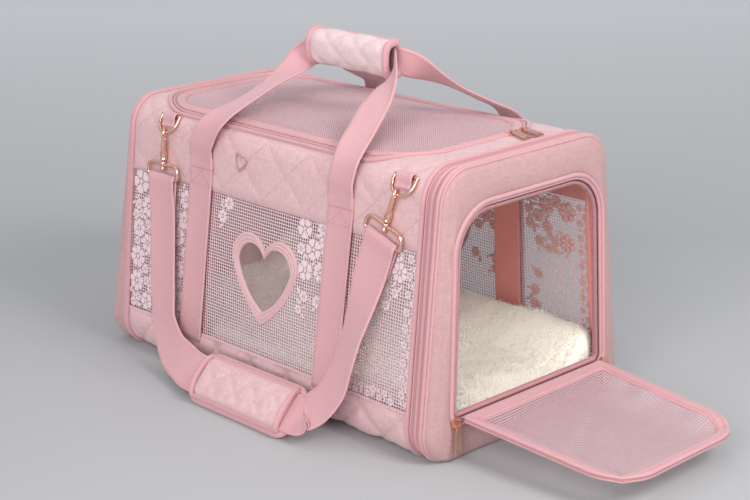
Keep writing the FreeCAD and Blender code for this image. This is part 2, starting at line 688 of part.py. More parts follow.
def strap_frames():
    """Centre line and width directions of the shoulder strap, rear hook to front hook."""
    rear, front = bracket_place("rear"), bracket_place("front")
    front_across = front.Rotation.multVec(-X_AXIS)
    straight = Vector(0, 0, STRAP_TOP - 12)
    half_pad = size("pad_length") / 2
    pad_rear = PAD_CENTRE - PAD_ALONG * half_pad
    pad_front = PAD_CENTRE + PAD_ALONG * half_pad
    return [
        (rear.multVec(Vector(0, 0, STRAP_TOP)), Vector(1, 0, 0)),
        (rear.multVec(straight), Vector(1, 0, 0)),
        (Vector(-139, -122, 156), Vector(1, 0, 0)),
        (Vector(-135, -127, 120), Vector(1, 0, 0)),
        (Vector(-131, -132, 80), Vector(1, 0, 0.1)),
        (Vector(-121, -139, 48), Vector(1, 0, 0.5)),
        (Vector(-98, -149, 30), Vector(0.6, 0.4, 1)),
        (Vector(-72, -156, 25), Vector(0.2, 0.6, 0.9)),
        (pad_rear, PAD_ACROSS),
        (PAD_CENTRE, PAD_ACROSS),
        (pad_front, PAD_ACROSS),
        (Vector(108, -158.5, 28), Vector(-0.1, 0.6, 0.8)),
        (Vector(122, -153.5, 39), Vector(-0.45, 0.5, 0.8)),
        (Vector(133, -148, 57), Vector(-0.8, 0.4, 0.55)),
        (Vector(138, -142, 78), Vector(-0.95, 0.45, 0.25)),
        (Vector(142, -135, 104), Vector(-1, 0.4, 0.1)),
        (Vector(147, -128, 132), Vector(-1, 0.2, 0.15)),
        (Vector(151, -122, 156), Vector(-1, 0.05, 0.25)),
        (front.multVec(straight), front_across),
        (front.multVec(Vector(0, 0, STRAP_TOP)), front_across),
    ]


route = strap_frames()
feature("shoulder_strap", ribbon(route, [size("strap_width")] * len(route), size("strap_thickness")))


def shoulder_pad():
    """A quilted sleeve with rounded ends, resting against the bag with its lower edge on the floor."""
    length, width, thickness = size("pad_length"), size("pad_width"), size("pad_thickness")
    pad = rounded_slab(-length / 2, length / 2, -width / 2, width / 2, -thickness / 2, thickness / 2, 12)
    rims = [e for e in pad.Edges if abs(e.BoundBox.ZMin - e.BoundBox.ZMax) < 0.01]
    pad = pad.makeFillet(4, rims)
    feature("shoulder_pad", pad, Placement(PAD_CENTRE, Rotation(X_AXIS, size("pad_tilt"))))


shoulder_pad()


# ---------------------------------------------------------------- zipper sliders and pulls

def slider_body():
    """A zipper slider with two ears and the pin that its pull turns on; X towards the pull."""
    length, width, height = size("slider_length"), size("slider_width"), size("slider_height")
    base = Part.makeBox(length, width, height, Vector(-length / 2, -width / 2, 0))
    upright = [e for e in base.Edges if abs(e.Vertexes[0].Z - e.Vertexes[1].Z) > 0.1]
    shape = base.makeFillet(2.4, upright)
    pin_z = size("pin_height")
    for ear in (-1, 1):
        shape = shape.fuse(Part.makeBox(3, 0.9, pin_z + 1.4, Vector(0.5, ear * 3.0 - 0.45, 0)))
    pin = cylinder(size("pin_radius"), Vector(2, -3.2, pin_z), Vector(2, 3.2, pin_z))
    return shape.fuse(pin)


def pull_tab():
    """The flat pull, with an eye at its root and a hole near its free end."""
    pin_z, half = size("pin_height"), size("pull_thickness") / 2
    eye = cylinder(1.5, Vector(2, -2, pin_z), Vector(2, 2, pin_z))
    neck = Part.makeBox(4, 4, 2 * half, Vector(2, -2, pin_z - half))
    width = size("pull_width")
    plate = Part.makeBox(size("pull_length"), width, 2 * half, Vector(5, -width / 2, pin_z - half))
    upright = [e for e in plate.Edges if abs(e.Vertexes[0].Z - e.Vertexes[1].Z) > 0.1]
    plate = plate.makeFillet(2.2, upright)
    tip = 5 + size("pull_length") - 4
    hole = cylinder(1.4, Vector(tip, 0, pin_z - 3), Vector(tip, 0, pin_z + 3))
    bore = cylinder(size("pin_radius") + size("pin_clearance"), Vector(2, -5, pin_z), Vector(2, 5, pin_z))
    return eye.fuse([neck, plate]).cut(bore).cut(hole)


ON_END = Rotation(Y_AXIS, 90)      # the slider lies on the end wall with its pull hanging down
SLIDER_Y = 100
TOP_SLIDER_Z = HEIGHT + 0.3
SLIDERS = {
    "door_near": Placement(Vector(HALF_LENGTH + 2, -SLIDER_Y, 38), ON_END),
    "door_far": Placement(Vector(HALF_LENGTH + 2, SLIDER_Y, 38), ON_END),
    "top_near": Placement(Vector(174, 34, TOP_SLIDER_Z), Rotation(Z_AXIS, -18)),
    "top_far": Placement(Vector(174, 48, TOP_SLIDER_Z), Rotation(Z_AXIS, -14)),
}
for name, place in SLIDERS.items():
    feature(f"{name}_slider", slider_body(), place)
    feature(f"{name}_pull", pull_tab(), place)


# ---------------------------------------------------------------- check and write

doc.recompute()
for obj in doc.Objects:
    for state in ("Invalid", "Error"):
        if state in obj.State:
            raise RuntimeError(f"{obj.Label} is {state}")

os.makedirs("parts", exist_ok=True)
for obj in PIECES:
    shape = obj.Shape
    if shape.isNull() or not shape.isValid() or not shape.Solids:
        raise RuntimeError(f"{obj.Label} has no valid solid")
    shape.exportStep(f"parts/{obj.Label}.step")
print(len(PIECES), "pieces written")
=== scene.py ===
"""Soft-sided pet carrier bag: the looks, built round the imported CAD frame.

Shapes are worked out in millimetres in the CAD frame and turned to metres when a mesh is made.
"""
import json
import math
import bpy
import numpy as np
from mathutils import Matrix, Vector


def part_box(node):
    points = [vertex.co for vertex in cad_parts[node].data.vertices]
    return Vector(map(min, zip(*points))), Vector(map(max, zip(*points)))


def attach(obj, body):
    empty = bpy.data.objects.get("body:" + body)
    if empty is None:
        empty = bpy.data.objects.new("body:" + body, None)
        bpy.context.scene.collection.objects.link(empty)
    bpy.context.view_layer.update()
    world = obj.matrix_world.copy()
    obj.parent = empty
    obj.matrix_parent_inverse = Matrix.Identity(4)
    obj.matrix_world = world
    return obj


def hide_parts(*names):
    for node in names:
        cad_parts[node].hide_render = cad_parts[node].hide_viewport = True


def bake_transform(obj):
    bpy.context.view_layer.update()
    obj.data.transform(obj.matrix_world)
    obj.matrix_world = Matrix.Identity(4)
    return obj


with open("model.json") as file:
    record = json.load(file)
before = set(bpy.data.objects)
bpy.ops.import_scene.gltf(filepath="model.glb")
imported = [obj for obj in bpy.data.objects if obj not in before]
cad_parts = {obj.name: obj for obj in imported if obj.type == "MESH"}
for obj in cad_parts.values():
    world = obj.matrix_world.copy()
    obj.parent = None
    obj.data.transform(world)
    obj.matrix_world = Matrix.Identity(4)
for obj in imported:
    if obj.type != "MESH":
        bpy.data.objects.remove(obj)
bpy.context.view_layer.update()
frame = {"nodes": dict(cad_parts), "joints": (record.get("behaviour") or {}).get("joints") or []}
MM = 0.001
JOINTS = {j["name"]: j for j in frame["joints"]}


def box(node):
    """Lowest and highest corner of a CAD node, in millimetres."""
    low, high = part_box(node)
    return np.array(low) / MM, np.array(high) / MM


def pivot(joint):
    return np.array(JOINTS[joint]["pos_m"]) / MM


# ---------------------------------------------------------------- sizes

X_BACK = box("near_upper_band")[0][0]
X_BAND = box("near_upper_band")[1][0]
X_END = box("door_end_panel")[0][0]
HALF_LENGTH = box("door_end_panel")[1][0]
HEIGHT = box("back_end_panel")[1][2]
WINDOW_LOW = box("near_mesh_window")[0][2]
WINDOW_HIGH = box("near_mesh_window")[1][2]
FOOT_HALF, TOP_HALF, ROUND = 130.0, 104.0, 30.0
MIDDLE_Z = 128.0
SLOPE = (FOOT_HALF - TOP_HALF) / HEIGHT
TILT = math.atan(SLOPE)
BACK_RECESS, DOOR_RECESS = 22.0, 4.0
SIGN = {"near": -1.0, "far": 1.0}


# ---------------------------------------------------------------- curves and outlines

def unit(a):
    return a / np.maximum(np.linalg.norm(a, axis=-1, keepdims=True), 1e-9)


def lengths(p):
    return np.r_[0, np.cumsum(np.linalg.norm(np.diff(p, axis=0), axis=1))]


def joined(loop):
    """The loop with its first point again at the end."""
    return np.vstack([loop, loop[:1]])


def resample(points, count, closed=False):
    """The same line with evenly spaced points."""
    p = np.asarray(points, float)
    if closed:
        p = joined(p)
    s = lengths(p)
    t = np.linspace(0, s[-1], count + 1)[:-1] if closed else np.linspace(0, s[-1], count)
    return np.stack([np.interp(t, s, p[:, k]) for k in range(p.shape[1])], 1)


def smooth(points, count):
    """A smooth line through the rows of points."""
    p = np.asarray(points, float)
    n = len(p)
    ext = np.vstack([2 * p[0] - p[1], p, 2 * p[-1] - p[-2]])
    t = np.linspace(0, n - 1 - 1e-9, count)
    i = t.astype(int)
    f = (t - i)[:, None]
    a, b, c, d = (ext[i + k] for k in range(4))
    square, cube = 2 * a - 5 * b + 4 * c - d, 3 * b - a - 3 * c + d
    return 0.5 * (2 * b + (c - a) * f + square * f ** 2 + cube * f ** 3)


def rounded(corners, radii, arc=16):
    """A closed outline of straight runs and arcs."""
    c = np.asarray(corners, float)
    out = []
    for i in range(len(c)):
        radius = radii[i] if hasattr(radii, "__len__") else radii
        a, b = unit(c[i - 1] - c[i]), unit(c[(i + 1) % len(c)] - c[i])
        half = math.acos(np.clip(a @ b, -1, 1)) / 2
        centre = c[i] + unit(a + b) * radius / math.sin(half)
        start = c[i] + a * radius / math.tan(half) - centre
        end = c[i] + b * radius / math.tan(half) - centre
        for t in np.linspace(0, 1, arc):
            out.append(centre + unit(start * (1 - t) + end * t) * radius)
    return np.array(out)


def outward(loop):
    """Unit normals of a closed planar loop, pointing away from its middle."""
    t = unit(np.roll(loop, -1, 0) - np.roll(loop, 1, 0))
    n = np.stack([t[:, 1], -t[:, 0]], 1)
    return n if np.sum(n * (loop - loop.mean(0))) > 0 else -n


def box_distance(x, y, x0, x1, y0, y1, radius):
    """Signed distance to a rounded rectangle, negative inside."""
    qx = np.abs(x - (x0 + x1) / 2) - ((x1 - x0) / 2 - radius)
    qy = np.abs(y - (y0 + y1) / 2) - ((y1 - y0) / 2 - radius)
    return np.hypot(np.maximum(qx, 0), np.maximum(qy, 0)) + np.minimum(np.maximum(qx, qy), 0) - radius


def wobble(p, size, seed=0):
    """Smooth, repeatable unevenness between about -1 and 1."""
    g = np.random.default_rng(seed)
    total = 0
    for _ in range(5):
        d = unit(g.normal(size=3)) * 2 * math.pi / (size * g.uniform(0.7, 1.6))
        total = total + np.sin(p @ d + g.uniform(0, 6.28))
    return total / 3.2


def step(a, b, x):
    t = np.clip((x - a) / (b - a), 0, 1)
    return t * t * (3 - 2 * t)


def quilt(u, v, pitch, rise, slant, width):
    """Height of diamond quilting: stitched lines at 0, pillows up to rise."""
    a = (u + v * slant) / pitch % 1
    b = (u - v * slant) / pitch % 1
    near = np.minimum(0.5 - np.abs(a - 0.5), 0.5 - np.abs(b - 0.5)) * pitch / math.hypot(1, slant)
    return rise * (1 - np.exp(-(near / width) ** 2) - 0.3 * np.exp(-(near / 1.6) ** 2))


def quilt_lines(u_range, v_range, pitch, slant, allowed=None):
    """Runs of (u, v) points along the stitched lines of quilt(), where they are allowed."""
    runs = []
    (u0, u1), (v0, v1) = u_range, v_range
    for way in (1, -1):
        ends = [u + way * v * slant for u in (u0, u1) for v in (v0, v1)]
        for k in range(math.ceil(min(ends) / pitch), math.floor(max(ends) / pitch) + 1):
            v = np.arange(v0, v1, 1.2)
            u = k * pitch - way * v * slant
            good = (u > u0) & (u < u1)
            if allowed:
                good &= allowed(u, v)
            for run in np.split(np.arange(len(v)), np.flatnonzero(~good)):
                run = run[good[run]]
                if len(run) > 4:
                    runs.append((u[run], v[run]))
    return runs


def quilt_seams(lines, place, up):
    for u, v in lines:
        stitch(SEAMS, place(u, v), up(u, v), 0, 2.2, 1.0, 0.42, 0.28)


# ---------------------------------------------------------------- meshes

def quads(nu, nv, wrap_u=False, wrap_v=False):
    """Four-sided faces over nu rows of nv points."""
    u = np.arange(nu if wrap_u else nu - 1)
    v = np.arange(nv if wrap_v else nv - 1)
    a, b = np.meshgrid(u, v, indexing="ij")
    a1, b1 = (a + 1) % nu, (b + 1) % nv
    return np.stack([a * nv + b, a1 * nv + b, a1 * nv + b1, a * nv + b1], -1).reshape(-1, 4)


def caps(rows, count, first=0):
    """End faces of rows of points: the first row in order and the last row turned over."""
    last = first + (rows - 1) * count
    return [list(range(first, first + count)), list(range(last, last + count))[::-1]]


class Build:
    """Collects the vertices, faces, materials and cloth coordinates of one piece."""

    def __init__(self):
        self.verts, self.cloth, self.faces, self.mats, self.count = [], [], [], [], 0

    def add(self, verts, faces, mat=0, cloth=None):
        verts = np.asarray(verts, float).reshape(-1, 3)
        cloth = verts if cloth is None else np.asarray(cloth, float).reshape(-1, 3)
        self.verts.append(verts)
        self.cloth.append(cloth)
        faces = (faces + self.count).tolist() if isinstance(faces, np.ndarray) else [
            [i + self.count for i in f] for f in faces]
        self.faces += faces
        self.mats += [mat] * len(faces)
        self.count += len(verts)
        return self

    def loft(self, rings, mat=0, cloth=None, around=True, closed=False):
        """Faces over rows of points, each row joined to the next."""
        n, m = np.shape(rings)[:2]
        return self.add(rings, quads(n, m, closed, around), mat, cloth)

    def close(self, rows, count, mat=0):
        """Cap both ends of the rows of points that were added last."""
        self.faces += caps(rows, count, self.count - rows * count)
        self.mats += [mat] * 2


SEAMS = Build()


def piece(name, build, materials, body="bag", replaces=(), solid=None, out_from=None,
          lining=0, levels=0, blend=None, floor=False, offset=-1.0, smooth=True):
    """Make a Blender object from a build, and let it ride on a body, or, given a blend, leave it unparented
    in place.
    """
    verts = np.vstack(build.verts)
    if floor:
        verts[:, 2] = np.maximum(verts[:, 2], 0.15)
    mesh = bpy.data.meshes.new(name)
    mesh.from_pydata((verts * MM).tolist(), [], build.faces)
    cloth = mesh.attributes.new("cloth", "FLOAT_VECTOR", "POINT")
    cloth.data.foreach_set("vector", (np.vstack(build.cloth).astype(np.float32) * MM).ravel())
    for m in materials:
        mesh.materials.append(m)
    mesh.polygons.foreach_set("material_index", np.array(build.mats, np.int32))
    mesh.polygons.foreach_set("use_smooth", np.full(len(mesh.polygons), smooth))
    if out_from is not None:
        centre = Vector(out_from) * MM
        facing = sum((p.normal.dot(p.center - centre)) * p.area for p in mesh.polygons)
        if facing < 0:
            mesh.flip_normals()
    mesh.update()
    obj = bpy.data.objects.new(name, mesh)
    bpy.context.scene.collection.objects.link(obj)
    if solid:
        mod = obj.modifiers.new("thickness", "SOLIDIFY")
        mod.thickness, mod.offset = solid * MM, offset
        mod.material_offset = lining
        mod.material_offset_rim = 0
    if levels:
        mod = obj.modifiers.new("smooth", "SUBSURF")
        mod.levels = mod.render_levels = levels
    if replaces:
        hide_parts(*replaces)
    if blend:
        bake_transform(obj)
    else:
        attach(obj, body)
    return obj


def frames_of(path, up, closed):
    if closed:
        tangent = unit(np.roll(path, -1, 0) - np.roll(path, 1, 0))
    else:
        tangent = unit(np.gradient(path, axis=0))
    up = np.broadcast_to(np.asarray(up, float), path.shape)
    side = unit(np.cross(tangent, up))
    return tangent, side, unit(np.cross(side, tangent))


def tube(build, path, radius, sides=8, closed=False, mat=0, up=(0, 0, 1), flat=1.0):
    """A round or flattened tube along a path."""
    path = np.asarray(path, float)
    n = len(path)
    _, side, top = frames_of(path, up, closed)
    radius = np.broadcast_to(np.asarray(radius, float), (n,))
    angle = np.arange(sides) * 2 * math.pi / sides
    ring = side[:, None] * np.cos(angle)[None, :, None] + top[:, None] * np.sin(angle)[None, :, None] * flat
    verts = path[:, None] + ring * radius[:, None, None]
    s = lengths(path)
    cloth = np.stack(np.broadcast_arrays(s[:, None], (angle * radius.mean())[None], 0 * s[:, None]), -1)
    build.add(verts, quads(n, sides, closed, True), mat, cloth)
    if not closed:
        build.close(n, sides, mat)
    return build


def coil(build, path, up, radius, mat=0):
    """A ribbed zipper coil round a closed path."""
    pitch, steps = 1.5, 3
    count = int(lengths(joined(path))[-1] / pitch) * steps
    fine = resample(path, count, True)
    ripple = radius * (1 + 0.28 * np.sin(np.arange(count) * 2 * math.pi / steps))
    return tube(build, fine, ripple, 6, True, mat, up)


def ribbon(build, centre, across, width, thick, bow=0.0):
    """Flat webbing with rounded selvedges, along a centre line. Returns the normals."""
    centre, n = np.asarray(centre, float), len(centre)
    tangent = unit(np.gradient(centre, axis=0))
    across = unit(across - tangent * np.sum(tangent * across, 1, keepdims=True))
    normal = unit(np.cross(tangent, across))
    width = np.broadcast_to(np.asarray(width, float), (n,))
    h = thick / 2
    rim, ridge, foot = 0.35 * thick, 2.2, 3.2
    top = [(-1, rim, h * 0.8), (-1, ridge, h * 1.15), (-1, foot, h * 0.85), (0, 0, h * 0.9),
           (1, foot, h * 0.85), (1, ridge, h * 1.15), (1, rim, h * 0.8)]
    section = [(-1, 0, 0)] + top + [(1, 0, 0)] + [(s, i, -z) for s, i, z in top[::-1]]
    rows, flat = [], []
    for s, i, z in section:
        a = s * (width / 2 - i) if s else 0 * width
        sag = bow * (1 - (2 * a / width) ** 2)
        rows.append(centre + across * a[:, None] + normal * (z + sag)[:, None])
        flat.append(a)
    verts = np.stack(rows, 1)
    s = lengths(centre)
    cloth = np.stack(np.broadcast_arrays(s[:, None], np.stack(flat, 1), 0 * s[:, None]), -1)
    k = len(section)
    build.add(verts, quads(n, k, False, True), 0, cloth)
    build.close(n, k)
    return normal


def stitch(build, path, up, mat=1, dash=2.3, gap=1.3, width=0.55, height=0.35):
    """A row of sewn stitches along a path lying on cloth whose normal is up."""
    path = np.asarray(path, float)
    up = np.broadcast_to(np.asarray(up, float), path.shape)
    count = max(int(lengths(path)[-1] / (dash + gap)), 1)
    both = resample(np.hstack([path, up]), count * 2 + 1)
    mid, upv = both[1::2, :3], unit(both[1::2, 3:])
    along = unit(both[2::2, :3] - both[0:-1:2, :3])[:len(mid)]
    side = unit(np.cross(along, upv))
    round_the = ((-1, -1), (1, -1), (1, 1), (-1, 1))
    corner = [(a, b, 0) for a, b in round_the] + [(0.7 * a, 0.6 * b, 1) for a, b in round_the]
    verts = np.stack([mid + along * (a * dash / 2) + side * (b * width / 2) + upv * (c * height)
                      for a, b, c in corner], 1)
    base = np.array([[4, 5, 6, 7], [0, 1, 5, 4], [1, 2, 6, 5], [2, 3, 7, 6], [3, 0, 4, 7], [3, 2, 1, 0]])
    faces = (base[None] + (np.arange(len(mid)) * 8)[:, None, None]).reshape(-1, 4)
    return build.add(verts, faces, mat)


# ---------------------------------------------------------------- materials

def rgb(*channels):
    """A screen colour, 0 to 255, as linear light."""
    return tuple(((c / 255 + 0.055) / 1.055) ** 2.4 for c in channels) + (1.0,)


def shade(colour, factor):
    return tuple(min(c * factor, 1) for c in colour[:3]) + (1.0,)


class Nodes:
    """A material and short ways to add nodes to it."""

    def __init__(self, name):
        self.mat = bpy.data.materials.new(name)
        self.mat.use_nodes = True
        self.tree = self.mat.node_tree
        self.bsdf = self.tree.nodes["Principled BSDF"]

    def node(self, kind, **values):
        n = self.tree.nodes.new(kind)
        for key, value in values.items():
            if key in n.bl_rna.properties:
                setattr(n, key, value)
            else:
                n.inputs[key.replace("_", " ")].default_value = value
        return n

    def link(self, a, b):
        self.tree.links.new(a, b)

    def place(self):
        return self.node("ShaderNodeTexCoord").outputs["Object"]

    def surface(self, colour, **values):
        """Join the colour, and set the shader's own values."""
        self.link(colour, self.bsdf.inputs["Base Color"])
        for key, value in values.items():
            self.bsdf.inputs[key.replace("_", " ")].default_value = value

    def uneven(self, spots, spread, low):
        """Roughness that varies by spread above low."""
        self.link(self.math("ADD", self.math("MULTIPLY", spots, spread), low), self.bsdf.inputs["Roughness"])

    def cloth(self, scale=(1, 1, 1), turn=0.0):
        a = self.node("ShaderNodeAttribute", attribute_name="cloth")
        m = self.node("ShaderNodeMapping")
        m.inputs["Scale"].default_value = scale
        m.inputs["Rotation"].default_value = (0, 0, turn)
        self.link(a.outputs["Vector"], m.inputs["Vector"])
        return m.outputs[0]

    def noise(self, vector, scale, detail=2.0):
        n = self.node("ShaderNodeTexNoise", Scale=scale, Detail=detail)
        self.link(vector, n.inputs["Vector"])
        return n.outputs["Fac"]

    def wave(self, vector, period, axis="X", distort=0.0):
        n = self.node("ShaderNodeTexWave", Scale=2 * math.pi / 20 / period, Distortion=distort)
        n.bands_direction = axis
        self.link(vector, n.inputs["Vector"])
        return n.outputs["Fac"]

    def math(self, op, a, b):
        n = self.node("ShaderNodeMath", operation=op)
        for socket, value in zip(n.inputs, (a, b)):
            if isinstance(value, (int, float)):
                socket.default_value = value
            else:
                self.link(value, socket)
        return n.outputs[0]

    def mix(self, factor, a, b):
        n = self.node("ShaderNodeMix", data_type="RGBA")
        for socket, value in ((n.inputs[0], factor), (n.inputs[6], a), (n.inputs[7], b)):
            if isinstance(value, (int, float, tuple)):
                socket.default_value = value
            else:
                self.link(value, socket)
        return n.outputs[2]

    def bump(self, height, distance, strength=0.6):
        n = self.node("ShaderNodeBump", Distance=distance, Strength=strength)
        self.link(height, n.inputs["Height"])
        self.link(n.outputs[0], self.bsdf.inputs["Normal"])


def fabric(name, colour, weave, heather, rough=0.88, sheen=0.25, twill=False, depth=0.00025):
    """Woven cloth: two thread directions or a diagonal twill, heathered yarn and slow colour drift."""
    n = Nodes(name)
    cloth = n.cloth()
    drift = n.noise(cloth, 30, 3)
    yarn_u = n.noise(n.cloth((1, 0.09, 1)), 900, 2)
    yarn_v = n.noise(n.cloth((0.09, 1, 1)), 900, 2)
    yarn = n.math("ADD", n.math("MULTIPLY", yarn_u, 0.5), n.math("MULTIPLY", yarn_v, 0.5))
    slub = n.math("ADD", n.noise(n.cloth((1, 0.3, 1)), 380, 2), n.noise(n.cloth((0.3, 1, 1)), 380, 2))
    if twill:
        threads = n.wave(n.cloth(turn=0.9), weave * MM, "X", 0.6)
    else:
        threads = n.math("MULTIPLY", *(n.wave(cloth, weave * MM, axis, 0.4) for axis in "XY"))
    base = n.mix(drift, shade(colour, 0.9), shade(colour, 1.1))
    light = n.mix(yarn, shade(colour, 1 - 2 * heather), shade(colour, 1 + 2 * heather))
    tone = n.mix(0.5, base, light)
    spots = n.node("ShaderNodeMapRange", From_Min=0.75, From_Max=1.25)
    n.link(slub, spots.inputs["Value"])
    tone = n.mix(n.math("MULTIPLY", spots.outputs[0], 2 * heather), tone, shade(colour, 0.62))
    tone = n.mix(n.math("MULTIPLY", threads, 0.35), tone, shade(colour, 0.82))
    n.surface(tone, Roughness=rough, Sheen_Weight=sheen, Sheen_Roughness=0.5, Specular_IOR_Level=0.3)
    height = n.math("ADD", n.math("MULTIPLY", threads, -0.6), n.math("MULTIPLY", yarn, 0.8))
    n.bump(height, depth, 0.7)
    return n.mat


def metal(name, colour):
    n = Nodes(name)
    place = n.place()
    haze = n.noise(place, 160, 3)
    n.surface(n.mix(haze, shade(colour, 0.9), shade(colour, 1.1)), Metallic=1.0)
    n.uneven(haze, 0.14, 0.10)
    n.bump(n.noise(place, 900, 2), 0.00002, 0.3)
    return n.mat


def fur(name, colour):
    """Plush fibres with painted shade: a little darker at the root, where the cloth coordinate is 0."""
    n = Nodes(name)
    place = n.place()
    patch, strand = n.noise(place, 22, 3), n.noise(place, 500, 1)
    along = n.node("ShaderNodeSeparateXYZ")
    n.link(n.node("ShaderNodeAttribute", attribute_name="cloth").outputs["Vector"], along.inputs[0])
    tip = n.math("MULTIPLY", along.outputs[0], 1000.0)
    tone = n.mix(patch, shade(colour, 0.95), shade(colour, 1.04))
    tone = n.mix(n.math("MULTIPLY", strand, 0.2), tone, shade(colour, 0.85))
    # Painted shade: the fibres darken towards the root, where shade falls between them.
    tone = n.mix(tip, shade(colour, 0.9), tone)
    n.surface(tone, Roughness=0.75, Sheen_Weight=0.4, Specular_IOR_Level=0.25)
    n.bump(strand, 0.0003, 0.4)
    return n.mat


def plastic(name, colour, rough):
    n = Nodes(name)
    place = n.place()
    spots = n.noise(place, 900, 2)
    n.surface(n.mix(n.noise(place, 20, 2), shade(colour, 0.92), shade(colour, 1.08)))
    n.uneven(spots, 0.12, rough)
    n.bump(spots, 0.00005, 0.4)
    return n.mat


def film(name, colour, alpha):
    n = Nodes(name)
    place = n.place()
    n.surface(n.mix(n.noise(place, 40, 2), shade(colour, 0.96), colour), Roughness=0.12, Alpha=alpha)
    n.bump(n.noise(place, 30, 2), 0.0008, 0.15)
    return n.mat


# Painted shade: the same pink linen as the quilted bands, made darker to stand in for the shade on the bag's
# ends.
LINEN_PAINTED_SHADE = fabric("linen", rgb(198, 157, 157), 1.1, 0.17)
QUILTED = fabric("quilted_linen", rgb(220, 182, 184), 1.1, 0.17)
PALE = fabric("pale_quilted_linen", rgb(232, 204, 205), 1.1, 0.14)
TAPE = fabric("binding_tape", rgb(209, 158, 163), 0.6, 0.06, sheen=0.35, depth=0.00012)
HEART_TAPE = fabric("heart_tape", rgb(218, 178, 181), 0.6, 0.06, sheen=0.35, depth=0.00012)
WEBBING = fabric("webbing", rgb(214, 163, 168), 1.5, 0.05, twill=True, rough=0.72, sheen=0.3)
SELVEDGE = fabric("zipper_coil", rgb(198, 144, 148), 0.7, 0.05, rough=0.55, sheen=0.1)
GROOVE = fabric("zipper_tape", rgb(186, 130, 134), 0.7, 0.05)
THREAD = fabric("thread", rgb(202, 152, 157), 0.3, 0.05, rough=0.6, depth=0.0001)
LINING = fabric("lining", rgb(222, 150, 144), 0.8, 0.08)
INNER_TAPE = fabric("inner_webbing", rgb(238, 158, 148), 1.5, 0.05, twill=True)
NET = fabric("net_thread", rgb(229, 204, 209), 0.5, 0.08, rough=0.5, sheen=0.2, depth=0.0001)
TOP_NET = fabric("top_net_thread", rgb(212, 174, 180), 0.5, 0.08, rough=0.5, depth=0.0001)
LACE = fabric("lace", rgb(236, 212, 218), 0.6, 0.08, rough=0.6, sheen=0.4, depth=0.0002)
# Painted backlight: the lace's inner face is salmon to stand in for light shining through the lace from
# outside.
LACE_PAINTED_BACKLIGHT = fabric("lace_painted_backlight", rgb(246, 188, 180), 0.6, 0.08, rough=0.7)
PILE = fur("plush_pile", rgb(254, 249, 238))
GOLD = metal("rose_gold", rgb(250, 200, 178))
STEEL = metal("bare_wire", rgb(190, 190, 192))
BOARD = plastic("stiff_board", rgb(90, 84, 84), 0.55)
FILM = film("clear_film", rgb(226, 206, 202), 0.2)


# ---------------------------------------------------------------- the bag's skin

CORNERS = [(-FOOT_HALF, 0), (-TOP_HALF, HEIGHT), (TOP_HALF, HEIGHT), (FOOT_HALF, 0)]
GIRTH = resample(np.vstack([[0, 0], rounded(CORNERS, ROUND, 40), [0, 0]]), 4000)
GIRTH_S = lengths(GIRTH)
ALL = GIRTH_S[-1]
_t = unit(np.gradient(GIRTH, axis=0))
GIRTH_N = np.stack([-_t[:, 1], _t[:, 0]], 1)
GIRTH_N[0] = GIRTH_N[-1] = (0, -1)


def skin(x, s, out=0.0):
    """Points on the bag's outer skin: x along the bag, s round the girth from the base's middle."""
    x, s, out = np.broadcast_arrays(np.asarray(x, float), np.asarray(s, float), np.asarray(out, float))
    s = s % ALL
    y, z = (np.interp(s, GIRTH_S, GIRTH[:, k]) for k in (0, 1))
    ny, nz = (np.interp(s, GIRTH_S, GIRTH_N[:, k]) for k in (0, 1))
    return np.stack([x, y + ny * out, z + nz * out], -1)


def skin_normal(u, s):
    """Unit normals of the skin at s, one row for each u."""
    ny, nz = (np.interp(s % ALL, GIRTH_S, GIRTH_N[:, k]) for k in (0, 1))
    return np.stack(np.broadcast_arrays(0 * u, ny, nz), 1)


_rise = (GIRTH[:2000, 1] > ROUND + 1) & (GIRTH[:2000, 1] < HEIGHT - ROUND - 1)


def girth_at(sign, z):
    """Where a height on one long side lies on the girth."""
    s = np.interp(z, GIRTH[:2000][_rise, 1], GIRTH_S[:2000][_rise])
    return s if sign < 0 else ALL - s


_top = GIRTH[:, 1] > 215


def top_height(y):
    return np.interp(y, GIRTH[_top, 0], GIRTH[_top, 1])


def side(sign, x, z, out=0.0):
    """Points on a sloping long side."""
    x, z, out = np.broadcast_arrays(np.asarray(x, float), np.asarray(z, float), np.asarray(out, float))
    y = sign * (FOOT_HALF - SLOPE * z + out * math.cos(TILT))
    return np.stack([x, y, z + out * math.sin(TILT)], -1)


def side_normal(sign):
    return np.array([0, sign * math.cos(TILT), math.sin(TILT)])


def end_loop(x, grow=0.0, count=420):
    """The bag's end outline at one x, grown outwards."""
    s = np.linspace(0, ALL, count + 1)[:-1]
    return skin(np.full(count, x, float), s, grow)


_tape_lo, _tape_hi = box("top_zipper_tape")
OPEN = (_tape_lo[0] - 0.3, _tape_hi[0] + 0.3, _tape_lo[1] - 0.3, _tape_hi[1] + 0.3)
OPEN_ROUND = 54.0
TOP_FROM = 225.0
CELL = 2.0
UPPER_QUILT = {"pitch": 58, "rise": 0.75, "slant": 1.1, "width": 5}
LOWER_QUILT = {"pitch": 50, "rise": 2.3, "slant": 1.0, "width": 6}
LOWER_SHIFT = 8


def open_outline(inset, count=360):
    x0, x1, y0, y1 = OPEN[0] + inset, OPEN[1] - inset, OPEN[2] + inset, OPEN[3] - inset
    return resample(rounded([(x0, y0), (x1, y0), (x1, y1), (x0, y1)], OPEN_ROUND - inset), count, True)


def from_seam(*edges):
    """How free the cloth is to puff out: 0 at the nearest edge, rising to 1."""
    return 1 - np.exp(-(np.maximum(np.minimum.reduce(edges), 0) / 5) ** 2)


def opening_distance(x, y):
    return box_distance(x, y, *OPEN, OPEN_ROUND)


def upper_loft(x, s, dist, s0, s1):
    """How far the quilted upper cloth stands off the skin, where dist is the way to the top opening."""
    hold = from_seam(x - X_BACK, X_BAND - x, s - s0, s1 - s, np.abs(dist))
    pillows = quilt(x, np.abs(s - (s0 + s1) / 2), **UPPER_QUILT)
    return hold * (pillows + 0.7 * wobble(skin(x, s), 130, 1) + 0.9)


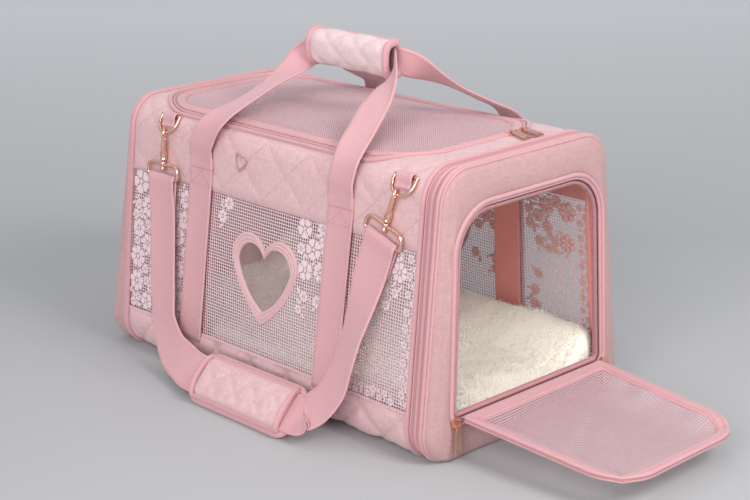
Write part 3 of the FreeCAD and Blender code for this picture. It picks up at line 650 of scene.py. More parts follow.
def lower_loft(x, s, low):
    """The same for the lower cloth, which lies flat where it meets the floor."""
    p = skin(x, s)
    hold = from_seam(x - X_BACK, X_BAND - x, low - np.abs(s)) * step(0.5, 9, p[..., 2])
    return hold * (quilt(x + LOWER_SHIFT, np.abs(s), **LOWER_QUILT) + 0.7 * wobble(p, 90, 2))


def upper_shell(xs):
    """The cloth over the top and down to the windows, cut out round the top opening."""
    s0, s1 = girth_at(-1, WINDOW_HIGH), girth_at(1, WINDOW_HIGH)
    middle = (s0 + s1) / 2
    ss = np.linspace(s0, s1, int((s1 - s0) / CELL) + 1)
    x, s = np.meshgrid(xs, ss, indexing="ij")
    _, y, z = np.moveaxis(skin(x, s), -1, 0)
    dist = opening_distance(x, y)
    on_top = z > TOP_FROM
    cut = on_top & (dist < -0.75 * CELL)
    snap = on_top & ~cut & (dist < 0.55 * CELL)
    nudge = 0.1
    g = unit(np.stack([opening_distance(x + nudge, y) - dist, opening_distance(x, y + nudge) - dist], -1))
    x = np.where(snap, x - g[..., 0] * dist, x)
    y = np.where(snap, y - g[..., 1] * dist, y)
    s = np.where(snap, np.interp(y, GIRTH[_top, 0], GIRTH_S[_top]), s)
    out = upper_loft(x, s, np.where(on_top, dist, 99), s0, s1)
    keep = ~(cut[:-1, :-1] | cut[1:, :-1] | cut[:-1, 1:] | cut[1:, 1:]).reshape(-1)
    faces = quads(len(xs), len(ss))[keep]
    used = np.unique(faces)
    renum = np.full(x.size, -1)
    renum[used] = np.arange(len(used))
    cloth = np.stack([x, s, 0 * x], -1).reshape(-1, 3)[used]
    b = Build().add(skin(x, s, out).reshape(-1, 3)[used], renum[faces], 0, cloth)
    hem_row(xs, s0 + 2.6, -1)
    hem_row(xs, s1 - 2.6, 1)
    piece("upper_shell", b, [QUILTED, LINING], solid=2.6, out_from=(0, 0, 120), lining=1,
          replaces=("near_upper_band", "far_upper_band", "top_panel_front", "top_panel_back"))

    def seam_distance(u, s):
        p = skin(u, s)
        return np.where(p[:, 2] > TOP_FROM, opening_distance(p[:, 0], p[:, 1]), 99)

    for way in (-1, 1):
        lines = quilt_lines((X_BACK + 4, X_BAND - 4), (0, middle - s0),
                            UPPER_QUILT["pitch"], UPPER_QUILT["slant"],
                            lambda u, v: (seam_distance(u, middle + way * v) > 6) & (v < middle - s0 - 4))

        def place(u, v):
            s = middle + way * v
            return skin(u, s, upper_loft(u, s, seam_distance(u, s), s0, s1) + 0.05)

        quilt_seams(lines, place, lambda u, v: skin_normal(u, middle + way * v))


def hem_row(xs, s, sign):
    """Stitches along a hem of one long side."""
    stitch(SEAMS, skin(xs[3:-3], np.full(len(xs) - 6, s), 0.3), side_normal(sign), 0)


def shell_pieces():
    xs = np.linspace(X_BACK, X_BAND, int((X_BAND - X_BACK) / CELL) + 1)
    upper_shell(xs)
    low = girth_at(-1, WINDOW_LOW)
    x, s = np.meshgrid(xs, np.linspace(-low, low, int(2 * low / CELL) + 1), indexing="ij")
    b = Build().loft(skin(x, s, lower_loft(x, s, low)), 0, np.stack([x, s, 0 * x], -1), around=False)
    piece("lower_shell", b, [QUILTED, LINING], solid=2.6, out_from=(0, 0, 120), lining=1,
          floor=True, replaces=("near_lower_band", "far_lower_band", "bottom_panel"))
    for sign in (-1, 1):
        hem_row(xs, -sign * (low - 2.4), sign)
        lines = quilt_lines((X_BACK + 12, X_BAND + 4), (0, low - 4),
                            LOWER_QUILT["pitch"], LOWER_QUILT["slant"],
                            lambda u, v: skin(u, v)[:, 2] > 6)

        def place(u, v):
            x, s = u - LOWER_SHIFT, v * -sign
            return skin(x, s, lower_loft(x, s, low) + 0.05)

        quilt_seams(lines, place, lambda u, v: skin_normal(u, v * -sign))


def wall_x(z, door):
    return HALF_LENGTH - DOOR_RECESS * z / HEIGHT if door else -HALF_LENGTH + BACK_RECESS * z / HEIGHT


def opening_loop(grow, count):
    """The outline of the door opening in (y, z), grown outwards."""
    lo, hi = box("door_zipper_tape")
    foot, head = hi[1] + grow, hi[1] - 8 + grow
    corners = [(-foot, lo[2] - grow), (foot, lo[2] - grow), (head, hi[2] + grow), (-head, hi[2] + grow)]
    return resample(rounded(corners, [10 + grow, 10 + grow, 42 + grow, 42 + grow]), count, True)


def opening_at_angles(grow, angles):
    """Points of the door opening's outline at given angles round its middle."""
    loop = opening_loop(grow, 2000)
    a = np.arctan2(loop[:, 1] - MIDDLE_Z, loop[:, 0])
    order = np.argsort(a)
    a, loop = a[order], loop[order]
    a = np.r_[a - 2 * math.pi, a, a + 2 * math.pi]
    loop = np.vstack([loop] * 3)
    return np.stack([np.interp(angles, a, loop[:, k]) for k in (0, 1)], 1)


def ring_of(yz, door, rise):
    """Lay (y, z) points on an end wall, standing off it by rise."""
    x = wall_x(yz[:, 1], door) + (rise if door else -rise)
    return np.column_stack([x, yz])


def end_walls():
    """The door end's frame and the dished back end, each rolled over the spring-wire edge."""
    count = 420
    angles = np.arctan2(*(end_loop(0, 0, count)[:, :0:-1] - (MIDDLE_Z, 0)).T)

    def edge_rings(door, start):
        rings = [end_loop(start, -0.3, count), end_loop(start + (3 if door else -3), 0.4, count)]
        for drop, grow in ((9.0, 0.9), (4.5, 0.2), (1.8, -1.6), (0.3, -4.6), (-0.6, -9.5)):
            rings.append(ring_of(end_loop(0, grow, count)[:, 1:], door, -drop))
        return rings

    rings = edge_rings(True, X_END)
    shoulder, lip = rings[-1][:, 1:], opening_at_angles(3.0, angles)
    for t in (0.12, 0.3, 0.5, 0.7, 0.88):
        rings.append(ring_of(shoulder * (1 - t) + lip * t, True, 0.9 + 1.1 * math.sin(math.pi * t)))
    rings.append(ring_of(lip, True, 0.2))
    rings.append(ring_of(opening_at_angles(0.4, angles), True, -1.6))
    rings.append(ring_of(opening_at_angles(0.0, angles), True, -4.0))
    rings = np.array(rings)
    rings[..., 0] += 0.35 * wobble(rings, 60, 3) * (np.abs(rings[..., 0] - HALF_LENGTH) < 9)
    s = np.cumsum(np.linalg.norm(np.diff(rings, axis=0, prepend=rings[:1]), axis=2), axis=0)
    g = np.broadcast_to(np.linspace(0, ALL, count), s.shape)
    b = Build().loft(rings, 0, np.stack([s, g, 0 * s], -1))
    yz = opening_at_angles(6.0, angles)
    stitch(SEAMS, ring_of(joined(yz), True, 1.2), (1, 0, 0), 0)
    # The end frame's darker linen is painted shade.
    piece("door_end_frame", b, [LINEN_PAINTED_SHADE, LINING], solid=2.4, out_from=(120, 0, MIDDLE_Z),
          lining=1, floor=True, replaces=("door_end_panel",))

    rings = edge_rings(False, X_BACK)
    middle = (0, MIDDLE_Z)
    shoulder = rings[-1][:, 1:] - middle
    for t in (0.9, 0.78, 0.62, 0.45, 0.28, 0.12, 0.03):
        rings.append(ring_of(shoulder * t + middle, False, 0.8 + 5.5 * (1 - t * t)))
    rings = np.array(rings)
    rings[..., 0] += 0.8 * wobble(rings, 90, 4) * (rings[..., 0] < -195)
    b = Build().loft(rings, 0, rings[..., [1, 2, 0]])
    b.faces.append(caps(len(rings), count)[1])
    b.mats.append(0)
    piece("back_cap", b, [LINEN_PAINTED_SHADE, LINING], solid=2.4, out_from=(-150, 0, MIDDLE_Z), lining=1,
          floor=True, replaces=("back_end_panel",))

    b = Build()
    profile = [(0, -0.4), (1.6, 0.5), (2.6, -0.2), (3.0, -1.5), (5.4, -1.5), (5.8, 0.3), (7.6, 0.9),
               (9.0, 0.3), (9.4, -1.5), (11.6, -1.5), (12.0, 0.0), (12.8, 0.4), (14.0, -0.4)]
    b.loft([end_loop(X_BAND + dx, grow, count) for dx, grow in profile])
    piece("door_end_tape", b, [TAPE, LINING], solid=1.6, out_from=(210, 0, MIDDLE_Z), lining=1,
          floor=True, replaces=("door_end_band",))
    b = Build()
    for dx in (4.2, 10.5):
        coil(b, end_loop(X_BAND + dx, -0.5, 600), (1, 0, 0), 1.25)
    piece("door_end_coils", b, [SELVEDGE], floor=True, replaces=("door_end_zipper",))


def cords(name, loops, replaces=(), material=None, up=(1, 0, 0), floor=False):
    """Corded seams along closed loops, from (points, radius) pairs."""
    b = Build()
    for loop, radius in loops:
        tube(b, loop, radius, 8, True, 0, up)
    piece(name, b, [material or TAPE], floor=floor, replaces=replaces)


def end_pieces():
    end_walls()
    for name, runs in (("door_end_piping_inner", [(X_BAND - 1.6, 0.9, 2.2)]),
                       ("door_end_piping_outer", [(X_END + 1.2, 0.8, 2.2), (X_END + 4.6, 0.7, 1.3)]),
                       ("back_end_piping", [(X_BACK - 1.2, 0.9, 2.2), (X_BACK - 5.2, 0.7, 1.7)])):
        loops = [(end_loop(x, grow, 300), radius) for x, grow, radius in runs]
        cords(name + "_cord", loops, (name,), floor=True)
    for name, x in (("back_end", -201.5), ("door_end", 206.5)):
        cords(name + "_wire_sleeve", [(end_loop(x, -6.2, 260), 3.1)], material=INNER_TAPE)
    cords("door_opening_cord", [(ring_of(opening_loop(grow, 420), True, rise), radius)
                                for grow, rise, radius in ((2.2, 1.6, 2.0), (-0.9, 0.4, 1.5))],
          ("door_opening_piping",))
    outer, inner = opening_loop(-0.5, 420), opening_loop(-7.5, 420)
    b = Build().loft([ring_of(outer * (1 - t) + inner * t, True, -2.6 - 0.8 * t) for t in (0, 0.35, 0.7, 1)])
    coil(b, ring_of(opening_loop(-5.4, 700), True, -1.9), (1, 0, 0), 1.2, mat=1)
    piece("door_zipper", b, [GROOVE, SELVEDGE], solid=0.8, out_from=(0, 0, MIDDLE_Z),
          replaces=("door_zipper_tape",))

    def top_ring(inset, lift, count=360):
        loop = open_outline(inset, count)
        return np.column_stack([loop, top_height(loop[:, 1]) + lift])

    cords("top_opening_cord", [(top_ring(-1.6, 1.2), 2.1), (top_ring(1.9, 0.2), 1.1)], up=(0, 0, 1))
    b = Build().loft([top_ring(-0.5, -1.6), top_ring(5.5, -3.2)])
    coil(b, top_ring(3.4, -1.0, 700), (0, 0, 1), 1.15, mat=1)
    piece("top_zipper", b, [GROOVE, SELVEDGE], solid=0.8, out_from=(0, 0, 0),
          replaces=("top_zipper_tape",))


# ---------------------------------------------------------------- nets

def net(build, area, pitch, hole, inside, place):
    """Open mesh cloth: a lattice of square cells, each a frame round a hole."""
    u0, u1, v0, v1 = area
    count = int((u1 - u0) / pitch), int((v1 - v0) / pitch)
    a, b = np.meshgrid(*(np.arange(n + 1.0) for n in count), indexing="ij")

    def flat(i, j):
        return u0 + i * (u1 - u0) / count[0], v0 + j * (v1 - v0) / count[1]

    cells = inside(*flat(a[:-1, :-1] + 0.5, b[:-1, :-1] + 0.5)).reshape(-1)
    corner = quads(count[0] + 1, count[1] + 1)[cells]
    ci, cj = (q[:-1, :-1].reshape(-1)[cells] + 0.5 for q in (a, b))
    h = hole / pitch / 2
    inner = [flat(ci + di * h, cj + dj * h) for di, dj in ((-1, -1), (1, -1), (1, 1), (-1, 1))]
    used = np.unique(corner)
    renum = np.full(a.size, -1)
    renum[used] = np.arange(len(used))
    outer = flat(a.reshape(-1)[used], b.reshape(-1)[used])
    uu, vv = (np.concatenate([outer[k]] + [i[k] for i in inner]) for k in (0, 1))
    corner = renum[corner]
    ring = np.stack([len(used) + len(ci) * q + np.arange(len(ci)) for q in range(4)], 1)
    faces = []
    for q in range(4):
        after = (q + 1) % 4
        faces.append(np.stack([corner[:, q], corner[:, after], ring[:, after], ring[:, q]], 1))
    build.add(place(uu, vv), np.concatenate(faces), 0, np.stack([uu, vv, 0 * uu], 1))


def arc3(a, b, c, count):
    """Points on the arc through three points."""
    a, b, c = (np.asarray(p, float) for p in (a, b, c))
    d = 2 * (a[0] * (b[1] - c[1]) + b[0] * (c[1] - a[1]) + c[0] * (a[1] - b[1]))
    k = [p @ p for p in (a, b, c)]
    centre = np.array([k[0] * (b[1] - c[1]) + k[1] * (c[1] - a[1]) + k[2] * (a[1] - b[1]),
                       k[0] * (c[0] - b[0]) + k[1] * (a[0] - c[0]) + k[2] * (b[0] - a[0])]) / d
    angle = [math.atan2(*(p - centre)[::-1]) for p in (a, b, c)]
    whole = (angle[2] - angle[0]) % (2 * math.pi)
    part = (angle[1] - angle[0]) % (2 * math.pi)
    if part > whole:
        whole -= 2 * math.pi
    t = angle[0] + np.linspace(0, 1, count, endpoint=False) * whole
    return centre + np.stack([np.cos(t), np.sin(t)], 1) * np.linalg.norm(a - centre)


def heart(width, height, count=28):
    """A closed heart outline with its tip at the origin, tip first and round by +x."""
    half = width / 2
    lobe = half / 2
    shoulder = height - lobe
    dip = (0, height - lobe * 0.62)
    runs = [arc3((0, 0), (half * 0.70, shoulder * 0.5), (half, shoulder), count),
            arc3((half, shoulder), (lobe * 1.05, height), dip, count)]
    right = np.vstack(runs)
    left = (np.vstack([runs[0], runs[1], [dip]]) * (-1, 1))[::-1]
    return np.vstack([right, left[:-1]])


def in_loop(u, v, loop):
    """Which points lie inside a closed loop."""
    inside = np.zeros(np.shape(u), bool)
    for (x0, y0), (x1, y1) in zip(loop, np.roll(loop, -1, 0)):
        crosses = ((y0 > v) != (y1 > v)) & (u < (x1 - x0) * (v - y0) / (y1 - y0 + 1e-12) + x0)
        inside ^= crosses
    return inside


_heart_lo, _heart_hi = box("near_heart_trim")
HEART_X, HEART_LOW = (_heart_lo[0] + _heart_hi[0]) / 2, _heart_lo[2]
HEART_SIZE = (_heart_hi - _heart_lo)[[0, 2]]
HEART_OUT = heart(*HEART_SIZE) + (HEART_X, HEART_LOW)
HEART_IN = heart(HEART_SIZE[0] - 18.5, HEART_SIZE[1] - 22.0) + (HEART_X, HEART_LOW + 12.6)


def window_bulge(x, z):
    t = np.clip((z - WINDOW_LOW) / (WINDOW_HIGH - WINDOW_LOW), 0, 1)
    return 1.4 * np.sin(math.pi * t) + 0.35 * np.sin(x / 23.0) * np.sin(math.pi * t)


LACE_ZONES = [(X_BACK + 1, -104, 46, 184, 22, 60), (123, 186, 122, 184, 3, 9), (123, 144, 60, 120, 0, 3),
              (50, 89, 128, 186, 4, 8), (50, 86, 74, 120, 0, 3), (-64, -44, 150, 184, 0, 2)]
HEART_PROFILE = [(-0.02, -1.0), (0.0, 0.4), (0.06, 1.5), (0.16, 2.0), (0.27, 1.7), (0.33, 1.0), (0.39, 1.8),
                 (0.5, 2.2), (0.61, 1.8), (0.67, 1.0), (0.73, 1.7), (0.84, 2.0), (0.94, 1.5), (1.0, 0.2),
                 (1.02, -1.2)]


def spun(x, y, cx, cy, turn):
    """Local points turned and moved to a centre."""
    c, s = math.cos(turn), math.sin(turn)
    return np.stack([cx + x * c - y * s, cy + x * s + y * c], 1)


def flower(cx, cy, radius, petals, turn):
    """Petal outlines of one lace flower, with a ring at its middle."""
    shapes = []
    t = np.linspace(0, 2 * math.pi, 13)[:-1]
    notch = 1 - 0.16 * np.exp(-(np.sin(t) / 0.4) ** 2) * (np.cos(t) > 0)
    for k in range(petals):
        long, short = 0.37 * radius, 1.95 * radius / petals
        x, y = 0.63 * radius + long * np.cos(t) * notch, short * np.sin(t) * (1 + 0.42 * np.cos(t))
        shapes.append(spun(x, y, cx, cy, turn + k * 2 * math.pi / petals))
    shapes.append(np.stack([cx + 0.17 * radius * np.cos(t), cy + 0.17 * radius * np.sin(t)], 1))
    return shapes


def leaf(cx, cy, size, turn):
    t = np.linspace(0, 2 * math.pi, 9)[:-1]
    return spun(size * np.cos(t), 0.36 * size * np.sin(t), cx, cy, turn)


def lace_shapes(g, zones):
    """Flowers, leaves and dots scattered over rectangular zones, no two flowers overlapping."""
    shapes, placed = [], []
    for x0, x1, z0, z1, flowers, small in zones:
        for size_low, size_high, wanted in ((9, 12.5, flowers), (4.5, 7, small)):
            done = 0
            for _ in range(wanted * 40):
                r = g.uniform(size_low, size_high)
                if x1 - x0 < 2 * r * 0.8 or done >= wanted:
                    break
                c = np.array([g.uniform(x0 + r * 0.7, x1 - r * 0.7), g.uniform(z0 + r * 0.7, z1 - r * 0.7)])
                if any(np.hypot(*(c - p)) < (r + q) * 0.93 for p, q in placed):
                    continue
                placed.append((c, r))
                done += 1
                shapes += flower(*c, r, int(g.integers(5, 9)), g.uniform(0, 6))
                for _ in range(int(g.integers(2, 5))):
                    a = g.uniform(0, 6.28)
                    d = c + (r + 3.0) * np.array([math.cos(a), math.sin(a)])
                    if x0 < d[0] < x1 and z0 < d[1] < z1 and all(
                            np.hypot(*(d - p)) > q + 1.5 for p, q in placed if p is not c and q != r):
                        shapes.append(leaf(*d, g.uniform(2.2, 4.2), a + g.uniform(-0.8, 0.8)))
    return shapes


def lace_border(g, x0, x1, z0, z1, along_x):
    """Two rows of small flowers and leaves in turn."""
    shapes = []
    across = z1 - z0 if along_x else x1 - x0
    run = np.arange((x0 if along_x else z0) + 4, (x1 if along_x else z1) - 3, 7.5)
    for k, r in enumerate(run):
        for row in (0.28, 0.74):
            off = (row * across, g.uniform(-1, 1))
            c = (r + off[1], z0 + off[0]) if along_x else (x0 + off[0], r + off[1])
            if (k + (row > 0.5)) % 2:
                shapes += flower(*c, g.uniform(3.2, 4.2), 5, g.uniform(0, 6))
            else:
                shapes.append(leaf(*c, g.uniform(2.0, 3.0), g.uniform(0, 3.1)))
    return shapes


def window_pieces():
    """On each long side a net, lace on both its faces (the inner face salmon, as painted backlight), and a
    heart window; on the near side a sewn heart.
    """
    area = (X_BACK + 0.5, X_BAND - 0.5, WINDOW_LOW - 1, WINDOW_HIGH + 1)
    for name, sign in SIGN.items():
        b = Build()
        net(b, area, 3.0, 2.2, lambda u, v: ~in_loop(u, v, HEART_IN + (HEART_IN - HEART_IN.mean(0)) * 0.04),
            lambda u, v: side(sign, u, v, -1.6 + window_bulge(u, v)))
        piece(name + "_window_net", b, [NET], solid=0.45, out_from=(0, 0, 115),
              replaces=(name + "_mesh_window",))
        g = np.random.default_rng(11 if sign < 0 else 12)
        shapes = lace_shapes(g, LACE_ZONES)
        shapes += lace_border(g, 187, X_BAND - 1, 46, 184, False) + lace_border(g, 122, 187, 45, 57, True)
        # The inner lace copy is salmon: painted backlight, in place of light shining through the lace from
        # outside.
        front, back = Build(), Build()
        for sh in shapes:
            for target, out in ((front, -1.15), (back, -2.35)):
                verts = side(sign, sh[:, 0], sh[:, 1], out + window_bulge(sh[:, 0], sh[:, 1]))
                target.add(verts, [list(range(len(sh)))], 0, np.column_stack([sh, 0 * sh[:, 0]]))
        piece(name + "_lace", front, [LACE], solid=0.35, out_from=(0, 0, 115), offset=1.0,
              smooth=False)
        piece(name + "_lace_inner_painted_backlight", back, [LACE_PAINTED_BACKLIGHT], solid=0.3, out_from=(0, 0, 115))

        b = Build()
        b.loft([side(sign, *(HEART_OUT * (1 - t) + HEART_IN * t).T, h) for t, h in HEART_PROFILE])
        for t in (0.33, 0.67):
            loop = HEART_OUT * (1 - t) + HEART_IN * t
            stitch(SEAMS, side(sign, *joined(loop).T, 1.1), side_normal(sign), 0, 1.8, 1.0)
        piece(name + "_heart_band", b, [HEART_TAPE], solid=1.0, out_from=(HEART_X, 0, 115),
              replaces=(name + "_heart_trim",))
        b = Build().add(side(sign, *HEART_IN.T, -1.0), [list(range(len(HEART_IN)))])
        piece(name + "_heart_film", b, [FILM], solid=0.3, out_from=(0, 0, 115))

    b = Build()
    spin = turned("Z", math.radians(14))[:2, :2]
    for width, height, lift in ((17, 17, 0), (13.4, 12.6, 2.6)):
        loop = (heart(width, height, 12) + (0, lift)) @ spin + (-34.5, 211.5)
        tube(b, side(-1, *loop.T, 2.3), 0.4, 6, True, 0, side_normal(-1))
    piece("embroidered_heart", b, [THREAD])


# ---------------------------------------------------------------- webbing, handles and strap

def strip_pieces():
    """Webbing sewn down each side, with a crossed box of stitches at the top, and its inner face."""
    half_seam, over = 13.8, 3.45
    for name, sign in SIGN.items():
        n = side_normal(sign)
        for end in ("rear", "front"):
            lo, hi = box(f"{name}_{end}_webbing")

            def middle(z):
                return np.interp(z, [lo[2], hi[2]], [lo[0] + 16, hi[0] - 16])

            def row(x, z):
                stitch(b, side(sign, x, z, over), n, 1)

            b = Build()
            z = np.linspace(lo[2] - 1, 217, 40)
            ribbon(b, side(sign, middle(z), z, 2.6), np.tile([1.0, 0, 0], (40, 1)), 33, 1.7)
            for off in (-half_seam, half_seam):
                row(middle(z) + off, z)
            box_z = (190, 214)
            for at in box_z:
                row(np.linspace(middle(at) - 13.5, middle(at) + 13.5, 8), at)
            for a in (13.2, -13.2):
                row(np.linspace(hi[0] - 16 - a, hi[0] - 16 + a, 8), np.linspace(*box_z, 8))
            foot = middle(lo[2] + 3)
            row(np.linspace(foot - 13.5, foot + 13.5, 8), lo[2] + 3)
            piece(f"{name}_{end}_strip", b, [WEBBING, THREAD],
                  replaces=(f"{name}_{end}_webbing",))
            b = Build()
            z = np.linspace(WINDOW_LOW - 6, WINDOW_HIGH + 6, 30)
            ribbon(b, side(sign, middle(z), z, -4.6), np.tile([1.0, 0, 0], (30, 1)), 33, 1.4)
            piece(f"{name}_{end}_strip_inner", b, [INNER_TAPE])


# Rows of centre line (x, y, z), direction across the webbing (x, y, z) and width. The far handle mirrors it.
HANDLE_ROUTE = [
    (-88, -111.4, 206, 1, 0, 0, 33), (-88, -111.6, 218, 1, 0, 0, 33),
    (-85, -112.8, 232, 1, 0, 0, 32), (-76, -109.4, 248, 1, -0.05, 0, 32),
    (-66, -99, 261, 1, -0.2, 0, 32), (-58, -79, 272, 1, -0.35, 0.05, 31),
    (-52, -52, 285, 1, -0.3, 0.05, 30), (-48, -30, 297, 1, 0, -0.3, 28),
    (-44, -12, 309, 0.6, 0.5, -0.8, 26), (-32, -2.2, 315, 0.1, 0.02, -1, 24),
    (-10, -2.2, 316.5, 0, 0, -1, 24), (38, -2.2, 316.5, 0, 0, -1, 24),
    (60, -2.2, 315, -0.1, 0.02, -1, 24), (71, -12, 309, -0.6, 0.4, -0.8, 26),
    (79, -30, 298, -1, 0.1, -0.3, 28), (88, -51, 286, -1, -0.2, -0.05, 30),
    (99, -78, 271, -1, -0.25, -0.05, 31), (107, -98, 260, -1, -0.1, 0, 32),
    (109, -109.4, 247, -1, 0, 0, 32), (107, -112.8, 232, -1, 0, 0, 32),
    (105, -111.6, 218, -1, 0, 0, 33), (105, -111.4, 206, -1, 0, 0, 33)]


def handle_pieces():
    """The two handles, left unparented in place between the bag and their swinging part."""
    for name, sign in SIGN.items():
        rows = smooth(HANDLE_ROUTE, 220)
        centre, across, width = rows[:, :3] * (1, -sign, 1), rows[:, 3:6] * (1, -sign, 1), rows[:, 6]
        centre = centre + side_normal(sign) * 0.6 * step(240, 225, centre[:, 2])[:, None]
        b = Build()
        normal = ribbon(b, centre, across, width, 2.0)
        loose = centre[:, 2] > 217
        for off in (-1, 1):
            edge = centre + unit(across) * ((width / 2 - 2.6) * off)[:, None]
            for face in (-1, 1):
                stitch(b, edge[loose] + normal[loose] * face * 1.0, normal[loose] * face, 1)
        y = pivot(f"{name}_handle_swing")[1]
        piece(f"{name}_carry_handle", b, [WEBBING, THREAD], replaces=(f"{name}_handle",),
              blend=("bag", f"{name}_handle", (0, y, 211), (0, y, 229)))


def turned(axis, angle):
    return np.array(Matrix.Rotation(angle, 3, axis))


HOOK_LEAN = {"rear": 0.0, "front": math.radians(20)}


def hang(end):
    """A hook's frame: its origin on the ring's wire, and its axes as columns."""
    rest, slide = turned("X", math.radians(-33)), turned("Y", HOOK_LEAN[end])
    origin = pivot(f"near_{end}_ring_swing") + rest @ (np.array([0, 0, -5]) + slide @ np.array([0, 0, -13]))
    return origin, rest @ slide @ turned("X", math.radians(33) - TILT)


def bracket(end):
    """A strap bracket's frame: its origin on the ring, and its own right, outward and up directions."""
    origin, axes = hang(end)
    across, through = side_normal(-1) @ axes[:, 0], side_normal(-1) @ axes[:, 1]
    axes = axes @ turned("Z", -math.atan(across / through))
    return origin, axes[:, 0], -axes[:, 1], axes[:, 2]


def turning(build, place, up, profile):
    """A turned piece on the local Z axis, from (height, radius) pairs."""
    height, radius = np.array(profile).T
    tube(build, place(np.column_stack([0 * height, 0 * height, height])), radius, 20, up=up)


BOSS = [(-17.6, 1.2), (-18.2, 2.5), (-19, 3.2), (-20, 3.4), (-23.4, 3.4), (-24.6, 2.9), (-25.2, 2.9),
        (-25.7, 3.4), (-26.7, 3.4), (-27.1, 2.8), (-27.2, 1.45), (-33.4, 1.45), (-33.9, 2.1), (-35, 2.6),
        (-36.4, 2.4), (-37.3, 1.5), (-37.7, 0.4)]
KNOB = [(-28.5, 1.7), (-28.8, 2.6), (-29.4, 3.0), (-32.3, 3.0), (-32.8, 2.6), (-33.1, 1.7)]


def hook_pieces():
    """Cast snap hooks with turned bosses, their sprung gates, and the bent-wire strap brackets."""
    for end in HOOK_LEAN:
        origin, axes = hang(end)
        axes = axes @ turned("Z", math.radians(40))

        def at(p):
            return origin + np.asarray(p, float) @ axes.T

        t = np.linspace(0, math.pi, 20)
        crown = np.column_stack([0 * t, 4.2 * np.cos(t), 4.2 * np.sin(t) - 1])
        leg = [(0, -4.25, -5), (0, -4.0, -10), (0, -3.3, -14.5), (0, -1.9, -18.5), (0, -0.4, -21)]
        path = smooth(np.vstack([crown, leg]), 70)
        along = lengths(path) / lengths(path)[-1]
        b = Build()
        thick = np.interp(along, [0, 0.08, 0.5, 0.8, 1], [1.15, 1.45, 1.55, 2.0, 2.5])
        tube(b, at(path), thick, 14, up=axes[:, 0])
        turning(b, at, axes[:, 0], BOSS)
        for ear in (-1.9, 1.9):
            tube(b, at([(ear, 1.4, -21.5), (ear, 2.6, -19), (ear, 3.3, -17), (ear, 3.5, -16)]),
                 [2.2, 2.2, 2.1, 1.2], 12, up=axes[:, 0], flat=0.22)
        tube(b, at([(-2.6, 3.3, -17.5), (2.6, 3.3, -17.5)]), 0.8, 12, up=axes[:, 1])
        piece(f"{end}_hook_casting", b, [GOLD], body=f"{end}_hook",
              replaces=(f"{end}_hook",))
        b = Build()
        lever = [(0, 3.3, -17.9), (0, 3.35, -16.5), (0, 3.9, -9), (0, 4.2, -3.9)]
        tube(b, at(lever), [1.5, 1.45, 1.2, 1.15], 12, up=axes[:, 0])
        tube(b, at([(-1.3, 3.3, -17.5), (1.3, 3.3, -17.5)]), 1.6, 14, up=axes[:, 1])
        piece(f"{end}_gate_lever", b, [GOLD], body=f"{end}_gate",
              replaces=(f"{end}_hook_gate",))

        origin, right, out, up = bracket(end)
        frame_axes = np.column_stack([right, -out, up])

        def hung(p):
            return origin + np.asarray(p, float) @ frame_axes.T

        loop = rounded([(-22.5, -44), (22.5, -44), (22.5, -31), (-22.5, -31)], [3, 3, 6.5, 6.5], 10)
        loop = resample(loop, 150, True)
        b = Build()
        tube(b, hung(np.column_stack([loop[:, 0], 0 * loop[:, 0], loop[:, 1]])), 1.75, 12, True, 0, out)
        turning(b, hung, right, KNOB)
        piece(f"{end}_bracket_wire", b, [GOLD], body="strap",
              replaces=(f"{end}_swivel_bracket",))


PAD_CENTRE = np.array([26.0, -161.0, 22.8])
PAD_TILT = math.radians(48)
PAD_ACROSS = np.array([0, math.cos(PAD_TILT), math.sin(PAD_TILT)])
PAD_OUT = np.array([0, -math.sin(PAD_TILT), math.cos(PAD_TILT)])


def strap_pieces():
    """The strap's webbing, from one bracket down through the pad and up to the other."""
    across_pad = tuple(PAD_ACROSS)

    def looped(end, flip):
        """Rows round a bracket's wire, up from the strap; turned about for the strap's last end."""
        origin, right, out, up = bracket(end)
        spots = [(-1.7, -74), (-1.7, -60), (-1.9, -50), (-1.8, -45.5), (0, -41.3), (1.9, -44.5), (1.9, -49),
                 (1.3, -58)]
        rows = [(*(origin + up * h + out * d), *(right * flip)) for d, h in spots]
        return rows if flip > 0 else rows[::-1]

    route = looped("rear", 1) + [
        (-139, -122, 156, 1, 0, 0), (-135, -127, 120, 1, 0, 0), (-131, -132, 80, 1, 0, 0.1),
        (-121, -139, 48, 1, 0, 0.5), (-98, -149, 30, 0.6, 0.4, 1), (-72, -156, 25, 0.2, 0.6, 0.9),
        (-45, -161, 22.8, *across_pad), (26, -161, 22.8, *across_pad), (97, -161, 22.8, *across_pad),
        (108, -158.5, 28, -0.1, 0.6, 0.8), (122, -153.5, 39, -0.45, 0.5, 0.8),
        (133, -148, 57, -0.8, 0.4, 0.55), (138, -142, 78, -0.95, 0.45, 0.25), (142, -135, 104, -1, 0.4, 0.1),
        (147, -128, 132, -1, 0.2, 0.15), (151, -122, 156, -1, 0.05, 0.25)] + looped("front", -1)
    rows = smooth(route, 420)
    centre, across = rows[:, :3], unit(rows[:, 3:6])
    b = Build()
    normal = ribbon(b, centre, across, 38.5, 2.0, bow=0.5)
    tangent = unit(np.gradient(centre, axis=0))
    across = unit(across - tangent * np.sum(tangent * across, 1, keepdims=True))
    for off in (-16.6, 16.6):
        for face in (-1, 1):
            stitch(b, centre + across * off + normal * face, normal * face, 1)
    piece("strap_webbing", b, [WEBBING, THREAD], body="strap", replaces=("shoulder_strap",))


# ---------------------------------------------------------------- padded pieces

